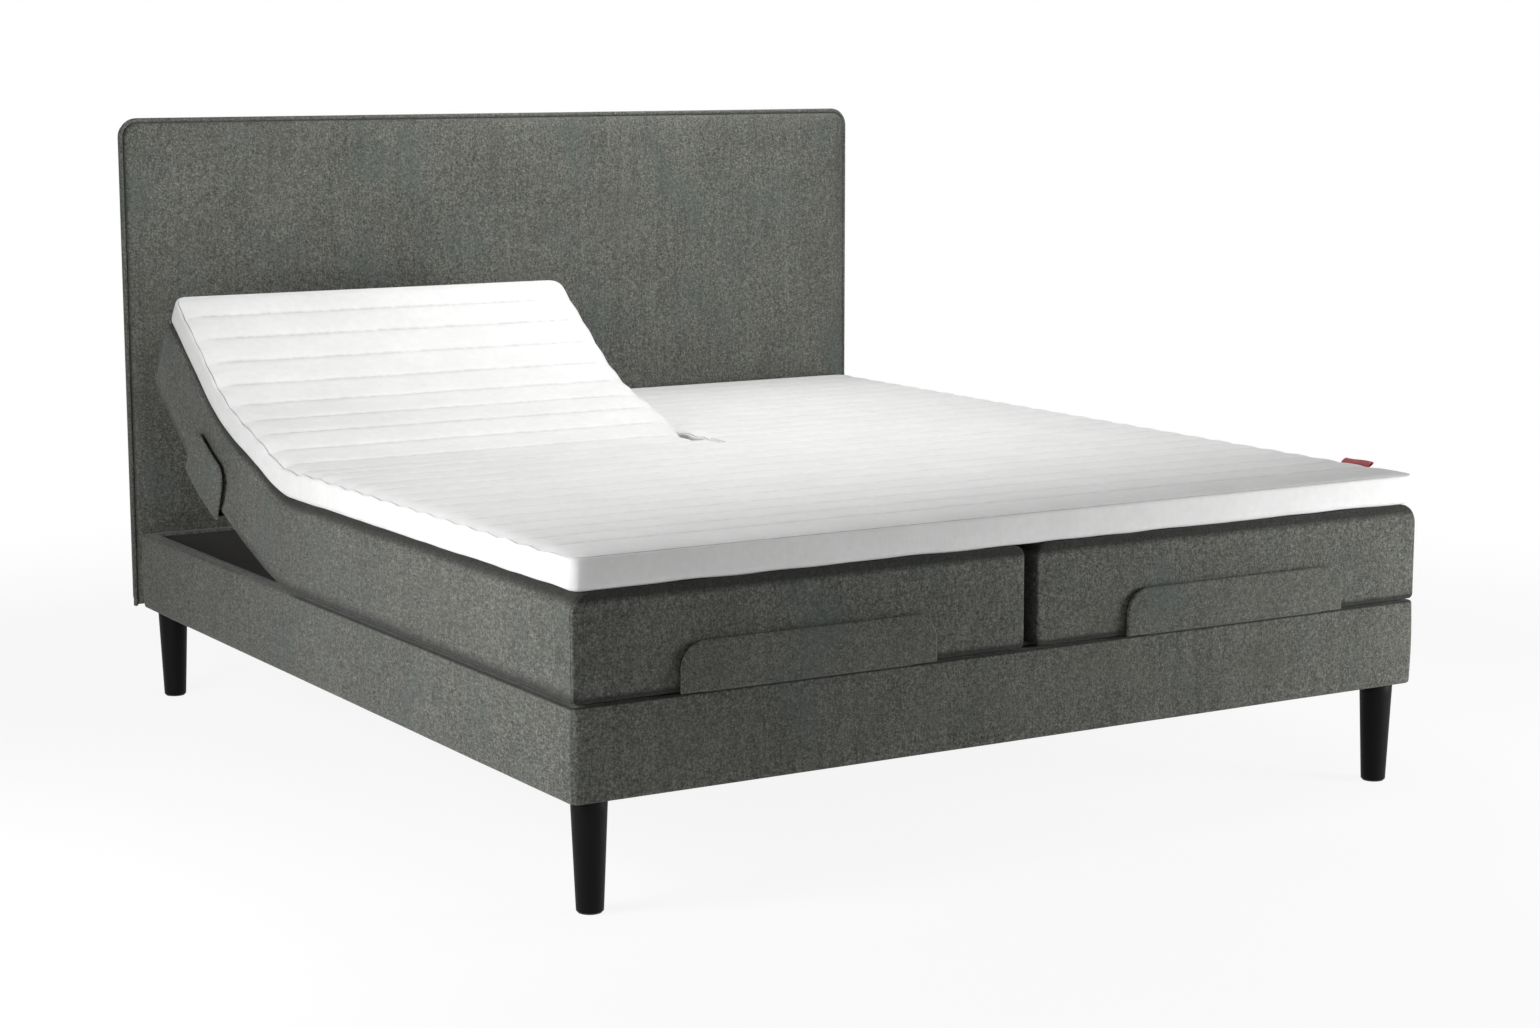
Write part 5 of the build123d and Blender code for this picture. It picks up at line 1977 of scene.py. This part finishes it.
@dataclass
class Studio:
    """Floor, soft lights and the camera."""

    camera_place: Point = (-3.0414, -5.1412, 1.3994)
    yaw: float = 0.5469
    pitch: float = 0.1572
    lens: float = 69.85
    floor_size: float = 60.0
    ambient: float = 0.03
    floor_white: float = 0.90
    white_from: tuple[float, float] = (1.7, 3.4)
    lamps: tuple[Lamp, ...] = (
        Lamp("left_soft", (-2.6, -0.75, 1.1), (-0.9, -0.6, 0.45), (1.0, 1.0), 43.0),
        Lamp("right_front", (2.0, -2.2, 0.6), (0.6, -1.0, 0.42), (0.9, 0.8), 39.0),
        Lamp("head_front", (0.22, -0.84, 1.8), (0.07, 1.0, 1.1), (2.4, 0.7), 18.5),
        Lamp("top_head", (0.45, 0.75, 2.2), (0.35, 0.8, 0.6), (1.8, 0.4), 21.0),
        Lamp("foot_front", (-0.3, -3.2, 0.9), (-0.2, -1.0, 0.56), (1.8, 0.6), 5.2),
    )

    def build(self) -> None:
        """Set up the scene round the bed."""
        scene = bpy.context.scene
        scene.view_settings.view_transform = "Standard"
        self.make_camera()
        self.make_floor()
        self.make_world()
        for lamp in self.lamps:
            lamp.build()

    def make_camera(self) -> None:
        """The photograph's viewpoint."""
        data = bpy.data.cameras.new("camera")
        data.lens = self.lens
        data.sensor_width = 36.0
        data.clip_end = 200.0
        camera = bpy.data.objects.new("camera", data)
        camera.location = self.camera_place
        camera.rotation_euler = (math.pi / 2 - self.pitch, 0.0, -self.yaw)
        bpy.context.scene.collection.objects.link(camera)
        bpy.context.scene.camera = camera

    def make_floor(self) -> None:
        """A pale plain floor that keeps the bed's shadow."""
        half = self.floor_size / 2
        mesh = bpy.data.meshes.new("floor")
        corners = [(-half, -half, 0), (half, -half, 0), (half, half, 0), (-half, half, 0)]
        mesh.from_pydata(corners, [], [(0, 1, 2, 3)])
        g = Graph.material("pale_floor")
        x, y, _ = g.split(g.place(None))
        away = g.mask((x * x + y * y).root(), *self.white_from)
        lit = g.make("ShaderNodeBsdfDiffuse", inputs={0: (0.9, 0.9, 0.9)})
        white = g.make("ShaderNodeEmission", inputs={0: (1.0, 1.0, 1.0), 1: 1.0})
        share = g.seen() * (self.floor_white + away * (1.0 - self.floor_white))
        mesh.materials.append(g.done(g.make("ShaderNodeMixShader", inputs={0: share, 1: lit, 2: white})))
        floor = bpy.data.objects.new("floor", mesh)
        bpy.context.scene.collection.objects.link(floor)

    def make_world(self) -> None:
        """Even light from all round, white where it is seen."""
        world = bpy.data.worlds.new("studio")
        bpy.context.scene.world = world
        g = Graph(world)
        white = (1.0, 1.0, 1.0)
        dim = g.make("ShaderNodeBackground", inputs={0: white, 1: self.ambient})
        bright = g.make("ShaderNodeBackground", inputs={0: white, 1: 1.0})
        g.done(g.make("ShaderNodeMixShader", inputs={0: g.seen(), 1: dim, 2: bright}))


def main() -> None:
    """Set up the studio, then build the bed's sub-assemblies in order."""
    logging.basicConfig(level=logging.INFO, format="%(message)s")
    Studio().build()
    Mechanism().build()
    BoxBase().build()
    Legs().build()
    Headboard().build()
    for side in Side:
        Mattress(side).build()
        for retainer in retainers(side):
            retainer.build()
    Topper().build()


if __name__ == "__main__":
    main()
